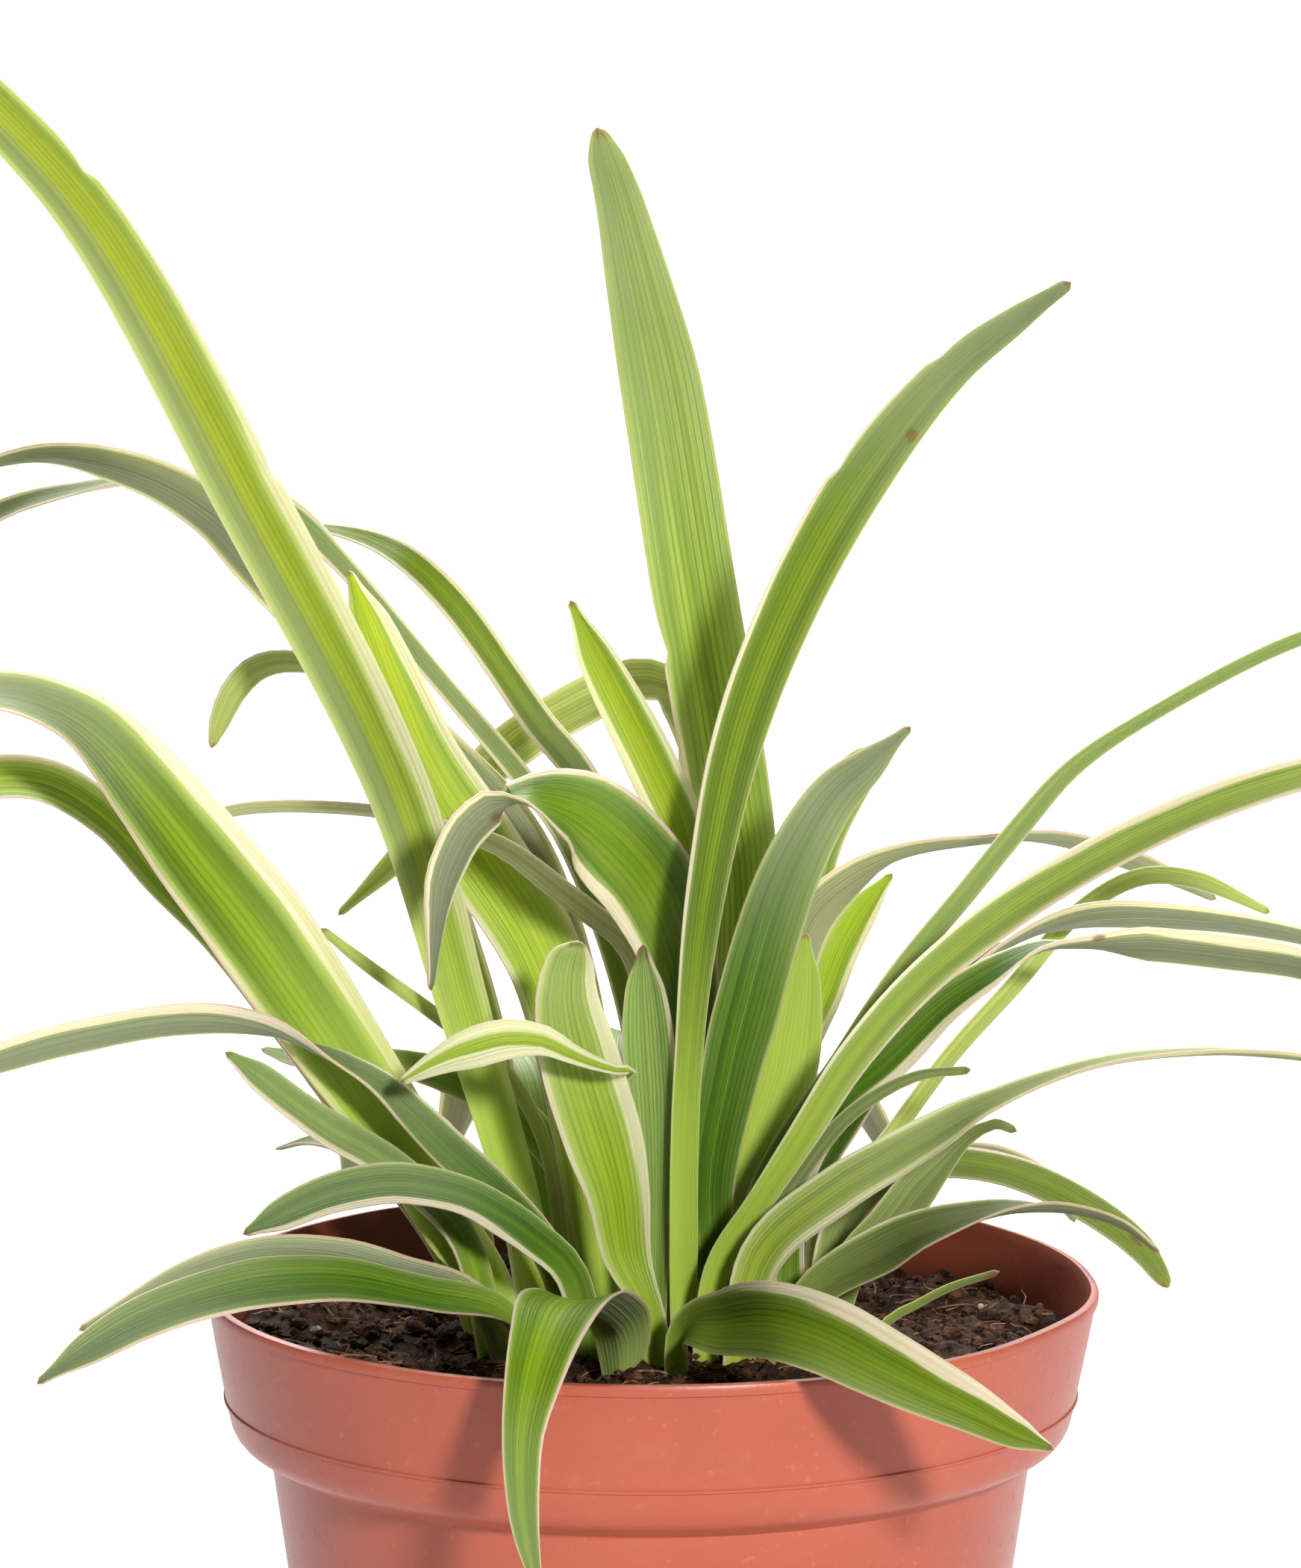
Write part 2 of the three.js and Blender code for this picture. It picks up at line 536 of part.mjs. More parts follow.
// Outside of the pot from its foot to the lip, [radius, height]: a slightly conical body,
// a curved shoulder and a deep conical collar below the lip
const POT_OUTSIDE = [
  [FOOT_RADIUS - 0.5, 0],
  [FOOT_RADIUS, 0.8],
  [49, POT_HEIGHT - 39],
  [51.5, POT_HEIGHT - 22],
  [54, POT_HEIGHT - 20.9],
  [55.4, POT_HEIGHT - 20.1],
  [56.6, POT_HEIGHT - 18.3],
  [57.6, POT_HEIGHT - 13.4],
  [58.9, POT_HEIGHT - 6.2],
  [59.6, POT_HEIGHT - 1.8],
  [RIM_RADIUS, POT_HEIGHT - 1.2],
  [RIM_RADIUS, POT_HEIGHT - 0.4],
];

// Inside of the pot, one wall further in, from the floor up to where the collar ends
const POT_INSIDE = [
  [FOOT_RADIUS - WALL - 0.6, FLOOR_TOP],
  [FOOT_RADIUS - WALL + 0.6, 7],
  [49 - WALL, POT_HEIGHT - 39],
  [51.4 - WALL, POT_HEIGHT - 21.4],
  [54 - WALL, POT_HEIGHT - 19.6],
  [56.6 - WALL, POT_HEIGHT - 17],
  [57.6 - WALL, POT_HEIGHT - 13],
  [59.5 - WALL, POT_HEIGHT - 1.4],
  [RIM_RADIUS - 1.1, POT_HEIGHT],
];

// Thin-walled pot with a foot ring and drain holes in its floor
function potGeometry() {
  const profile = [
    [0, FLOOR_UNDER],
    [FOOT_RADIUS - FOOT_RING_WIDTH - 1, FLOOR_UNDER],
    [FOOT_RADIUS - FOOT_RING_WIDTH, 0],
    ...POT_OUTSIDE,
    [RIM_RADIUS - 0.5, POT_HEIGHT],
    ...POT_INSIDE.toReversed(),
    [0, FLOOR_TOP],
  ];
  let solid = solidOf(lathe(profile, POT_SIDES));
  for (let i = 0; i < DRAIN_HOLES; i += 1) {
    const angle = ((i + 0.5) / DRAIN_HOLES) * 2 * Math.PI;
    const hole = new THREE.CylinderGeometry(DRAIN_RADIUS, DRAIN_RADIUS, 4, 10);
    hole.rotateX(Math.PI / 2);
    hole.translate(
      DRAIN_CIRCLE * Math.cos(angle),
      DRAIN_CIRCLE * Math.sin(angle),
      (FLOOR_UNDER + FLOOR_TOP) / 2,
    );
    solid = solid.subtract(solidOf(hole));
  }
  return geometryOf(solid);
}

// Inner radius of the pot at a height
function insideRadius(z) {
  const above = POT_INSIDE.findIndex(([, height]) => height > z);
  const [r0, z0] = POT_INSIDE[above - 1];
  const [r1, z1] = POT_INSIDE[above];
  return r0 + ((r1 - r0) * (z - z0)) / (z1 - z0);
}

// Height of the uneven top of the soil
function soilHeight(x, y) {
  const lumps = Math.sin(0.19 * x + 0.8) * Math.cos(0.23 * y - 0.5) + 0.5 * Math.sin(0.11 * x - 0.31 * y);
  return SOIL_TOP + SOIL_RELIEF * lumps;
}

// Soil that fills the pot, one gap off its inside, with a plain hole for each leaf and crown
function soilGeometry(holes) {
  const edge = insideRadius(SOIL_TOP) - GAP;
  const wall = POT_INSIDE.filter(([, z]) => z < SOIL_TOP - SOIL_RIM_DROP);
  const side = wall.map(([r, z]) => [r - GAP, z + GAP / 2]);
  const rings = [];
  for (let i = 0; i <= SOIL_RINGS; i += 1) {
    rings.push([(edge * (SOIL_RINGS - i)) / SOIL_RINGS, SOIL_TOP]);
  }
  const geometry = lathe([[0, FLOOR_TOP + GAP], ...side, ...rings], POT_SIDES);
  const position = geometry.attributes.position;
  for (let i = 0; i < position.count; i += 1) {
    if (position.getZ(i) > SOIL_TOP - SOIL_RIM_DROP / 2) {
      position.setZ(i, soilHeight(position.getX(i), position.getY(i)));
    }
  }
  let solid = solidOf(geometry);
  for (const hole of holes) {
    solid = solid.subtract(hole);
  }
  return geometryOf(solid);
}

// Route of a leaf from its foot in the soil: the curve, and its width at each knot
function leafCurve({ foot, route }) {
  const knots = [[...foot, LEAF_FOOT, FOOT_WIDTH], ...route];
  knots[0][3] = Math.min(FOOT_WIDTH, route[0][3]);
  const curve = new THREE.CatmullRomCurve3(
    knots.map(([x, y, z]) => new THREE.Vector3(x, y, z)),
    false,
    "centripetal",
  );
  return { curve, widths: knots.map((knot) => knot[3]), spans: knots.length - 1 };
}

// Value between the entries of a list, at a share from 0 to 1 of the way through it
function between(list, share, mix) {
  const place = share * (list.length - 1);
  const low = Math.min(Math.floor(place), list.length - 1);
  const high = Math.min(low + 1, list.length - 1);
  return mix(list[low], list[high], place - low);
}

// Where the blade is at a share of its route: its middle, and the directions across it, out of its
// upper face and along it
function bladeFrame(leaf, curve, share) {
  const along = curve.getTangent(share);
  const face = between(leaf.faces, share, (a, b, t) =>
    new THREE.Vector3(...a).lerp(new THREE.Vector3(...b), t),
  );
  const up = face.addScaledVector(along, -face.dot(along)).normalize();
  return { middle: curve.getPoint(share), across: up.clone().cross(along), up, along };
}

// Folded strap blade: one closed strip with a shallow channel along the middle of its upper face
function bladeGeometry(leaf) {
  const { curve, widths, spans } = leafCurve(leaf);
  const shares = [0];
  for (let span = 0; span < spans; span += 1) {
    const chord = curve.getPoint(span / spans).distanceTo(curve.getPoint((span + 1) / spans));
    const steps = Math.max(1, Math.round(chord / STEP_LENGTH));
    for (let step = 1; step <= steps; step += 1) {
      shares.push((span + step / steps) / spans);
    }
  }
  const corners = [];
  for (const share of shares) {
    const { middle, across, up } = bladeFrame(leaf, curve, share);
    const width = between(widths, share, THREE.MathUtils.lerp);
    const fold = width * THREE.MathUtils.lerp(FOOT_FOLD, BLADE_FOLD, Math.min(1, share * 3));
    const section = [
      [-0.5, fold / 2 + BLADE / 2],
      [0, -fold / 2 + BLADE / 2],
      [0.5, fold / 2 + BLADE / 2],
      [0.5, fold / 2 - BLADE / 2],
      [0, -fold / 2 - BLADE / 2],
      [-0.5, fold / 2 - BLADE / 2],
    ];
    for (const [side, rise] of section) {
      const corner = middle.clone().addScaledVector(across, side * width).addScaledVector(up, rise);
      corners.push(...corner.toArray());
    }
  }
  const faces = [];
  const last = (shares.length - 1) * 6;
  for (let row = 0; row < last; row += 6) {
    for (let j = 0; j < 6; j += 1) {
      const a = row + j;
      const b = row + ((j + 1) % 6);
      const c = a + 6;
      const d = b + 6;
      // Both faces of the blade are split along the same diagonal
      faces.push(...(j < 3 ? [a, c, d, a, d, b] : [a, c, b, b, c, d]));
    }
  }
  faces.push(0, 1, 4, 0, 4, 5, 1, 2, 3, 1, 3, 4);
  faces.push(last, last + 4, last + 1, last, last + 5, last + 4);
  faces.push(last + 1, last + 3, last + 2, last + 1, last + 4, last + 3);
  const geometry = new THREE.BufferGeometry();
  geometry.setAttribute("position", new THREE.Float32BufferAttribute(corners, 3));
  geometry.setIndex(faces);
  geometry.computeVertexNormals();
  return geometry;
}

// Plain square hole in the soil round the foot of a leaf, along the leaf's own direction
function footHole(leaf) {
  const { curve, widths } = leafCurve(leaf);
  const { middle, across, up, along } = bladeFrame(leaf, curve, 0);
  const length = (HOLE_TOP - LEAF_FOOT) / along.z + GAP;
  const thickness = widths[0] * FOOT_FOLD + BLADE + HOLE_CLEARANCE / 2;
  const hole = new THREE.BoxGeometry(widths[0] + HOLE_CLEARANCE, thickness, length);
  hole.translate(0, 0, length / 2 - GAP);
  hole.applyMatrix4(new THREE.Matrix4().makeBasis(across, up, along).setPosition(middle));
  return solidOf(hole);
}

// Rootstock with fleshy roots; grown wider by a margin it is the hollow that it fills
function crownSolid([x, y, radius], margin) {
  const base = CROWN_TOP - CROWN_HEIGHT;
  const profile = [
    [0, base - margin],
    [radius * 0.55 + margin, base - margin],
    [radius + margin, base + CROWN_HEIGHT / 2],
    [radius * 0.9 + margin, CROWN_TOP + margin],
    [0, CROWN_TOP + margin],
  ];
  let solid = solidOf(lathe(profile, CROWN_SIDES).translate(x, y, 0));
  for (let i = 0; i < ROOTS_PER_CROWN; i += 1) {
    const angle = ((i + 0.3) / ROOTS_PER_CROWN) * 2 * Math.PI;
    const side = new THREE.Vector3(Math.cos(angle), Math.sin(angle), 0);
    const start = new THREE.Vector3(x, y, base + CROWN_HEIGHT * 0.4).addScaledVector(side, radius * 0.3);
    const outward = x * side.x + y * side.y > 0;
    const end = start.clone().addScaledVector(side, outward ? ROOT_REACH : ROOT_REACH * 0.3);
    end.z -= ROOT_DROP;
    const length = start.distanceTo(end) + margin;
    const root = new THREE.CylinderGeometry(ROOT_RADIUS + margin, ROOT_RADIUS / 2 + margin, length, 6);
    root.rotateX(Math.PI / 2);
    root.translate(0, 0, -length / 2);
    const turn = new THREE.Quaternion().setFromUnitVectors(
      new THREE.Vector3(0, 0, -1),
      end.clone().sub(start).normalize(),
    );
    root.applyQuaternion(turn).translate(start.x, start.y, start.z);
    solid = solid.add(solidOf(root));
  }
  return solid;
}

// Named sub-part with a material of its own
function mesh(name, geometry, finish) {
  const made = new THREE.Mesh(geometry, new THREE.MeshStandardMaterial(finish));
  made.name = name;
  return made;
}

const plant = new THREE.Group();
plant.name = "plant";
for (const [name, leaf] of Object.entries(LEAVES)) {
  plant.add(mesh(name, bladeGeometry(leaf), materials.leaf));
}
for (const [name, crown] of Object.entries(CROWNS)) {
  plant.add(mesh(name, geometryOf(crownSolid(crown, 0)), materials.crown));
}

const holes = Object.values(LEAVES).map(footHole);
for (const crown of Object.values(CROWNS)) {
  holes.push(crownSolid(crown, GAP));
}

const pottedPlant = new THREE.Group();
pottedPlant.name = "potted_spider_plant";
pottedPlant.add(mesh("pot", potGeometry(), materials.pot));
pottedPlant.add(mesh("soil", soilGeometry(holes), materials.soil));
pottedPlant.add(plant);

export default pottedPlant;
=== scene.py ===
"""A potted spider plant: striped strap leaves in a small plastic nursery pot.

Lengths in the tables below are in millimetres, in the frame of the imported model, with +Z up.
Only the values of the camera and the lights are in metres.
"""
import math
import random

import bpy
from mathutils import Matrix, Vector, noise


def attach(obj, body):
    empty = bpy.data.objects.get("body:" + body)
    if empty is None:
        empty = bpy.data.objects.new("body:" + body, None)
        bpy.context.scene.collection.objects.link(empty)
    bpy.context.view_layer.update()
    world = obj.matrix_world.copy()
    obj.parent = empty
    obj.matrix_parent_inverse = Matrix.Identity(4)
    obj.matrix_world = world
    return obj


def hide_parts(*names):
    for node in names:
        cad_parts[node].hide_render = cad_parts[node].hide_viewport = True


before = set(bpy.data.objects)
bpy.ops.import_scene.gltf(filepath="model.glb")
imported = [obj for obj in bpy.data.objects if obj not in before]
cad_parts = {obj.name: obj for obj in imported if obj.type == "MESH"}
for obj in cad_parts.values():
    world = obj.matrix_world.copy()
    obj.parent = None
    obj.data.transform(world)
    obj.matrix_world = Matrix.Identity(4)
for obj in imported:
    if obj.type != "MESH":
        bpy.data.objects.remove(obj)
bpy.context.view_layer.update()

MM = 0.001

# Pot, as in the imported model
POT_HEIGHT = 105
RIM_RADIUS = 60
FOOT_RADIUS = 40
FLOOR_UNDER = 2
FLOOR_TOP = 3.2
FOOT_RING_WIDTH = 4
DRAIN_HOLES = 8
DRAIN_RADIUS = 3.5
DRAIN_CIRCLE = 26
DRAIN_CUT = 5

# Soil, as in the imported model
SOIL_TOP = 97
SOIL_RELIEF = 0.9
GAP = 0.3

# How far from the axis the soil and its loose crumbs reach; fibres start, lie on the soil and end there
SOIL_REACH = 56.6
CRUMB_REACH = 55.2
FIBRE_START_REACH = 54
FIBRE_LYING_REACH = 55
FIBRE_END_REACH = 55.8

# Fibres on the soil: how many, in how many steps, and the ranges that their shapes are drawn from
FIBRES = 620
FIBRE_STEPS = 6
FIBRE_STEP = (0.5, 1.3)
FIBRE_RADIUS = (0.07, 0.17)
FIBRE_CLIMB = (-0.05, 0.35)
FIBRE_TURN = (-0.6, 0.6)
FIBRE_DROOP = 0.08

# How fine the pieces are
POT_SIDES = 180
DRAIN_SIDES = 32
SOIL_SIDES = 200
SOIL_RINGS = 70
ROW_LENGTH = 2.2
TIP_ROW_LENGTH = 0.6
COLUMNS = 12

# Cross-section of a blade; folds are shares of its width
LEAF_FOOT = 91
FOOT_WIDTH = 4
FOOT_FOLD = 0.3
BLADE_FOLD = 0.13
FOLD_POWER = 1.35
THICK_MIDDLE = 0.62
THICK_EDGE = 0.32
TIP_ROUNDING = 0.9
TIP_WIDTH = 0.12
TIP_THICKNESS = 0.45
NICK_LENGTH = 9
VEIN_COUNT = 13

# Edges of a blade: height of the long waves, the ripples' share of it, how close both follow each
# other, and the width from which a blade waves fully
EDGE_WAVE = 0.3
RIPPLE_SHARE = 0.35
WAVE_PACE = 0.045
RIPPLE_PACE = 0.14
WAVY_WIDTH = 6

# Camera at the photograph's viewing angle, in metres and degrees; its lens and sensor in millimetres
CAMERA_PLACE = (0, -1.365, 0.4152)
CAMERA_ANGLE = 79.95
CAMERA_LENS = 238.3
SENSOR_WIDTH = 36

# Round soft lights, in metres and watts: (place, target, diameter, power, colour)
LIGHTS = {
    "key": ((0.7, -1.86, 1.0), (0, 0, 0.13), 0.28, 61, (1, 0.985, 0.96)),
    "top": ((-0.1, 1.0, 1.25), (0, 0, 0.16), 0.9, 25, (1, 1, 1)),
    "backdrop": ((0, 3.8, 2.4), (0, 3.8, 0), 3.6, 230, (1, 1, 1)),
}
WORLD_STRENGTH = 0.12

FLOOR_REACH = 40

# Width at a pointed tip, and directions that the upper face of a blade looks to
TIP = 1.2
FRONT = (0, -1, 0.25)
FRONT_UP = (0, -0.7, 0.7)
UP = (0, -0.2, 1)
AWAY = (0, 0.9, 0.4)

# Screen colours of each green: dark and light ones of the upper face, the band along its middle, its veins
GREENS = {
    "bright": ((118, 144, 12), (148, 166, 38), (166, 184, 24), (94, 128, 10)),
    "fresh": ((88, 118, 14), (122, 146, 36), (142, 174, 10), (62, 96, 8)),
    "mid": ((102, 130, 26), (134, 156, 46), (140, 166, 36), (74, 104, 20)),
    "deep": ((50, 86, 4), (84, 114, 16), (94, 138, 6), (36, 64, 6)),
    "grey": ((104, 118, 66), (134, 144, 92), (130, 142, 76), (84, 96, 56)),
    "pale": ((152, 166, 86), (176, 184, 112), (170, 180, 90), (124, 138, 64)),
}
SIDE_GREEN = (112, 136, 74)
PALE_GREEN = (164, 178, 104)
# Pale green of the feet; where it reaches far up, it is painted light on lower blades that lie in shade
FOOT_GREEN_AND_LIGHT = (162, 184, 72)
CREAM = (212, 198, 180)
CREAM_BRIGHT = (210, 212, 172)
CREAM_YELLOW = (186, 176, 148)
CREAM_GREEN = (166, 166, 122)
THIN_MARGIN = (180, 162, 146)
UNDERSIDE = ((110, 116, 90), (134, 137, 116))
UNDERSIDE_VEINS = (84, 96, 56)
# Greyish sheen painted over a part of some leaves, darker and lighter
SHEEN_GREYS = ((126, 138, 102), (146, 152, 126))
EDGE_BROWN = (166, 128, 110)
TIP_BROWN = (112, 80, 54)

# Looks of a leaf where its own call of leaf below doesn't say otherwise
USUAL_LOOK = {
    "tint": (1, 1, 1),  # factors on the red, green and blue of its greens; large ones on leaves that lie in shade paint light on them
    "foot": (0.35, 30),  # how pale its foot is, and up to which length in millimetres; reaching far up, it paints light on lower parts in shade
    "margin": CREAM,  # main colour of its margins
    "centre": 0.3,  # how plain the light band along its middle is
    "rib": 0.12,  # how plain the thin pale line along the middle of that band is, partly the midrib and partly a painted highlight
    "sides": 0.35,  # how much its greens turn greyish towards the edges
    "veins": 0.42,  # how plain its veins are
    "fade": 0.5,  # how strongly its margins run into the green
    "soft": 0.14,  # how far they do so, as a share of half the blade
    "under": 0.75,  # how grey its underside is
    "grey_side": (1, 0),  # half of the upper face that is grey as the underside is, and how much
    "dull": (0, 1, 0),  # shares of the length from which to which a greyish sheen is painted on, and how much
    "tip": 1.2,  # length of its dry tip in millimetres
    "specks": 0,  # how plain the pale specks near its foot are
    "spots": (),  # dents, each (across, share of the length)
    "nicks": (),  # where an edge is notched: (share of the length, side, depth in millimetres)
}
# Filled by leaf below; the place of a leaf in it seeds its noise
LEAVES = []


def leaf(name, base, directions, route, green, left, right, **looks):
    """Lists one leaf: its shape, its green, its margins and what else of its looks isn't as usual.

    base is where it stands in the soil (x, y), directions where its upper face looks to on the way
    from its foot to its tip, and route its places (x, y, z, width). left and right are the widths
    of its cream margins, evenly spread from foot to tip, as shares of half the blade. Across the
    blade, 1 is its left edge and -1 its right one, seen along it from its foot.
    """
    looks = {**USUAL_LOOK, "green": green, "left": left, "right": right, **looks}
    LEAVES.append(("leaf_" + name, base, directions, route, looks))


# Leaves that the photograph shows
leaf("tall_left", (-12, -1), [(0.2, -1, 0.25), (-0.35, -1, 0.25)], [
    (-17.6, 0, 116.1, 5.5), (-25, 2, 141.9, 7), (-33.8, 5, 171.6, 8.6), (-53.1, 3, 210.9, 9.6),
    (-73, -6, 249, 8.2), (-84.9, -13, 264.3, 7.2), (-95.4, -20, 275.3, 5.5), (-105.1, -26, 282.5, TIP),
], "bright", (0.05, 0.05), (0.1, 0.2, 0.34, 0.4, 0.4, 0.22, 0.12, 0.08, 0.06), tint=(0.86, 0.8, 1.1),
    foot=(0.85, 95), margin=(176, 180, 146), centre=0.35, fade=0.75, soft=0.3, grey_side=(1, 0.45),
    nicks=[(0.58, -1, 0.9), (0.8, -1, 1.0), (0.9, -1, 0.6)])
leaf("tall_left_inner", (-5, 5), [(0.35, -1, 0.3)], [
    (-8, 6.5, 110.6, 6), (-14.1, 10, 146.3, 11), (-24.6, 12.8, 163.6, 12), (-30.7, 14.6, 173.7, 10.5),
    (-34.3, 15.5, 182.4, 9), (-38, 16, 192.4, 6), (-40.7, 16.5, 199.6, TIP),
], "bright", (0.3, 0.2, 0.1), (0.04, 0.06, 0.1, 0.3, 0.5), tint=(1.3, 1.2, 1.6), foot=(0.8, 75),
    margin=CREAM_BRIGHT, centre=0.2)
leaf("tall_centre", (7, 10), [(-0.3, -1, 0.25), (0.3, -1, 0.3)], [
    (10.4, 10, 130, 7), (12.2, 11, 156.2, 10), (10, 11.5, 173.4, 11.5), (5.7, 13, 198.6, 11.5),
    (1.4, 20, 224, 11), (-1.5, 26, 236.6, 9), (-4.5, 32, 248.4, 6.4), (-6, 34.8, 252.9, 5.2),
    (-7.2, 37, 257.2, 2.6),
], "mid", (0.3, 0.3, 0.28, 0.05, 0.0, 0.0), (0.03, 0.02), tint=(1.15, 1.08, 1.3), rib=0.0, veins=0.6,
    fade=0.4, dull=(0.55, 0.95, 0.5), tip=2, nicks=[(0.57, 1, 0.9)])
leaf("tall_right", (4.8, -4.6), [FRONT, (0.4, -1, 0.4)], [
    (4.4, -6, 110.1, 3.8), (4.9, -7, 135, 3.8), (7.4, -8, 160.6, 5.4), (12.9, -9, 185.3, 7.2),
    (24.3, -15, 211.5, 7.8), (37.9, -24, 231.2, 5.6), (46.6, -31, 239.3, 3.8), (54.1, -38, 245.6, 1.8),
], "fresh", (0.1, 0.14, 0.2, 0.16, 0.1, 0.0), (0.04, 0.02), tint=(0.78, 0.75, 0.7), foot=(0.95, 70),
    centre=0.4, rib=0.0, veins=0.55, dull=(0.66, 0.92, 0.75), spots=[(-0.6, 0.8)],
    nicks=[(0.74, 1, 0.8), (0.86, 1, 0.7)])
leaf("centre_pointed", (3, 5), [FRONT, FRONT, (-0.35, -1, 0.25)], [
    (4.4, 4, 111.1, 5), (5, 4, 133, 6), (5.4, 4, 152.2, 6.5), (4.1, 3, 166.2, 7), (1, 1, 173.9, 7),
    (-3.1, -3, 183.2, 6.5), (-7.3, -7, 192.1, 5), (-10.6, -10, 199.7, TIP),
], "bright", (0.2, 0.34, 0.3), (0.12, 0.3, 0.2), tint=(1.05, 1.0, 1.8), margin=CREAM_BRIGHT, fade=0.7)
leaf("left_high_arch", (-4, 14), [AWAY, AWAY, AWAY, AWAY, (0, 0.3, 1)], [
    (-8.1, 16, 134.5, 5), (-13.4, 21, 154, 5.5), (-19.4, 24, 164.6, 6), (-31.7, 29, 175.6, 7),
    (-43, 33, 186.8, 8), (-53.5, 36, 197.4, 8.4), (-59.7, 39, 203.4, 8), (-67.2, 42, 207.6, 7),
    (-76.1, 46, 210, 5.5), (-83.5, 50, 210.4, 4.2), (-89.9, 53, 209, 3.3), (-96.4, 56, 206, TIP),
], "grey", (0.06, 0.1, 0.14), (0.1, 0.2, 0.2), tint=(1.15, 1.05, 1.1), fade=0.8, under=0.7,
    spots=[(-0.5, 0.46)])
leaf("left_thin_arch", (-1, 12), [FRONT, FRONT, FRONT_UP, UP, (0, -1, 0.8)], [
    (-2.1, 13, 135, 3), (-11, 19, 161.5, 3), (-16.7, 22, 169.3, 3), (-29.5, 26, 184, 2.8),
    (-42, 32, 198, 3), (-50.2, 38, 204.6, 4.5), (-58.6, 45, 207, 4.5), (-70.4, 53, 206.5, 4.5),
    (-79.9, 59, 204.1, 4.5), (-90.7, 65, 200.2, 4.5), (-102.5, 71, 191.9, TIP),
], "mid", (0.16, 0.26, 0.3, 0.2), (0.16, 0.26, 0.3, 0.2), centre=0.3, rib=0.5, veins=0.6,
    dull=(0.2, 0.5, 0.6))
leaf("left_inner_arch", (1, 16), [FRONT, FRONT, (0.3, -0.9, 0.3), (0, -0.4, 1)], [
    (-1.7, 18, 134, 4), (-5.3, 22, 161.1, 4.2), (-9.7, 25, 170.5, 4.4), (-15.2, 27, 176.9, 4.4),
    (-20.4, 29, 184.2, 4.4), (-26.7, 31, 192.7, 4.4), (-32.6, 34, 198, 4), (-38.3, 39, 200.3, 3),
    (-44.6, 43, 201.2, 1.8), (-47.9, 45, 201.2, TIP),
], "fresh", (0.1, 0.16, 0.24, 0.2), (0.06, 0.14, 0.26, 0.3, 0.2), tint=(0.95, 0.85, 1.0), veins=0.5,
    dull=(0.75, 0.45, 0.9))
leaf("left_broad", (-16, -4.5), [(0.3, -0.8, 0.4), (0.3, -0.8, 0.5), (0.2, -0.8, 0.6), (0.1, -0.4, 1)], [
    (-22.1, -6, 107.2, 6), (-26.1, -7, 112.6, 8), (-32.4, -8, 124.6, 10), (-40.9, -9, 137.9, 13),
    (-52.7, -11, 155.9, 15), (-59.4, -14, 165.3, 14.5), (-66.7, -19, 176, 13), (-72.9, -25, 184.3, 11),
    (-79, -31, 189.2, 9), (-85.4, -37, 191.7, 7.5), (-91.7, -43, 191.7, 5), (-98, -49, 187, TIP),
], "fresh", (0.1, 0.14, 0.16, 0.12, 0.12), (0.16, 0.26, 0.34, 0.28, 0.2, 0.2), tint=(0.88, 0.86, 0.85),
    foot=(0.75, 90), centre=0.5, rib=0.0, fade=0.8, soft=0.25, dull=(0.6, 0.85, 0.85))
# Its large tint paints light on this leaf, which lies in the shade of the broad leaf
leaf("left_dark", (-21, 3), [(0.3, -0.8, 0.4), (0.2, -0.8, 0.6), (0, -0.8, 0.7)], [
    (-27.6, 2.5, 109.1, 5), (-36.8, 2.5, 122.9, 5.5), (-47.3, 2, 137.9, 5.6), (-57.7, 0, 152.3, 5.6),
    (-64.9, -3, 160.4, 5.8), (-71.9, -7, 169.5, 6.2), (-79.3, -11, 175.2, 6.8), (-86.3, -15, 176.7, 6.8),
    (-93.9, -19, 175.2, 5), (-100.5, -22, 172, TIP),
], "fresh", (0.1, 0.1), (0.2, 0.2, 0.3), tint=(2.0, 1.65, 4.0), centre=0.2, rib=0.3)
leaf("bent_over", (6.8, 1.2), [
    FRONT, FRONT, FRONT, FRONT, FRONT, (0.2, -0.9, 0.45), (0.1, -0.7, 0.8), (0, -0.1, 1), (-0.3, 0.8, 0.6),
    (-0.6, 0.8, 0.3), (-0.7, 0.7, 0.2), (-0.7, 0.7, 0.1), (-0.8, 0.6, 0.1), (-0.8, 0.6, 0.1),
], [
    (5.8, 2, 127, 6), (4, 2, 148.3, 10), (0.6, 0, 158.2, 12.8), (-4, -5, 165.2, 13.4),
    (-8.6, -8, 169.9, 12.8), (-13, -11, 172.6, 10.6), (-17.7, -13, 173.9, 8.4), (-20.9, -14, 172.3, 7.6),
    (-23.8, -14.5, 169.8, 7.6), (-25.7, -14.5, 166.6, 7.6), (-27.3, -14.5, 162.6, 6.4),
    (-28.2, -14, 157.5, 4.4), (-29.2, -13, 147.8, TIP),
], "fresh", (0.1, 0.2, 0.26, 0.28, 0.26, 0.2, 0.2, 0.2), (0.06, 0.06, 0.08, 0.1, 0.1, 0.24, 0.26),
    tint=(0.76, 0.82, 1.0), foot=(0.3, 20), veins=0.3, under=0.9, spots=[(-0.5, 0.785), (-0.2, 0.79)])
leaf("centre_dark", (11, -1.5), [FRONT, (0.3, -1, 0.25), (0.45, -1, 0.3)], [
    (7.9, -3, 118.1, 6.5), (10.6, -3, 134.5, 8), (12.9, -3, 143.9, 9), (15.7, -4, 154.4, 9),
    (18.7, -7, 163.3, 8.5), (23.8, -12, 173.5, 7), (28.4, -17, 178.9, 5), (34.1, -23, 185, TIP),
], "deep", (0.06, 0.04), (0.03, 0.03), tint=(0.88, 0.95, 0.6), rib=0.4, veins=0.45, dull=(0.5, 0.88, 0.95))
leaf("centre_glossy", (13.2, 3.2), [(0.35, -1, 0.2)], [
    (12.6, 2.4, 114.6, 5.5), (14.9, 2, 124.1, 8), (18, 2, 133, 8.5), (19.1, 2, 139.4, 8),
    (20.1, 2, 146.3, 5.5), (20.9, 2, 152.7, TIP),
], "pale", (0.07, 0.05), (0.05, 0.05), tint=(0.75, 0.82, 0.5), foot=(0.95, 80), specks=0.8)
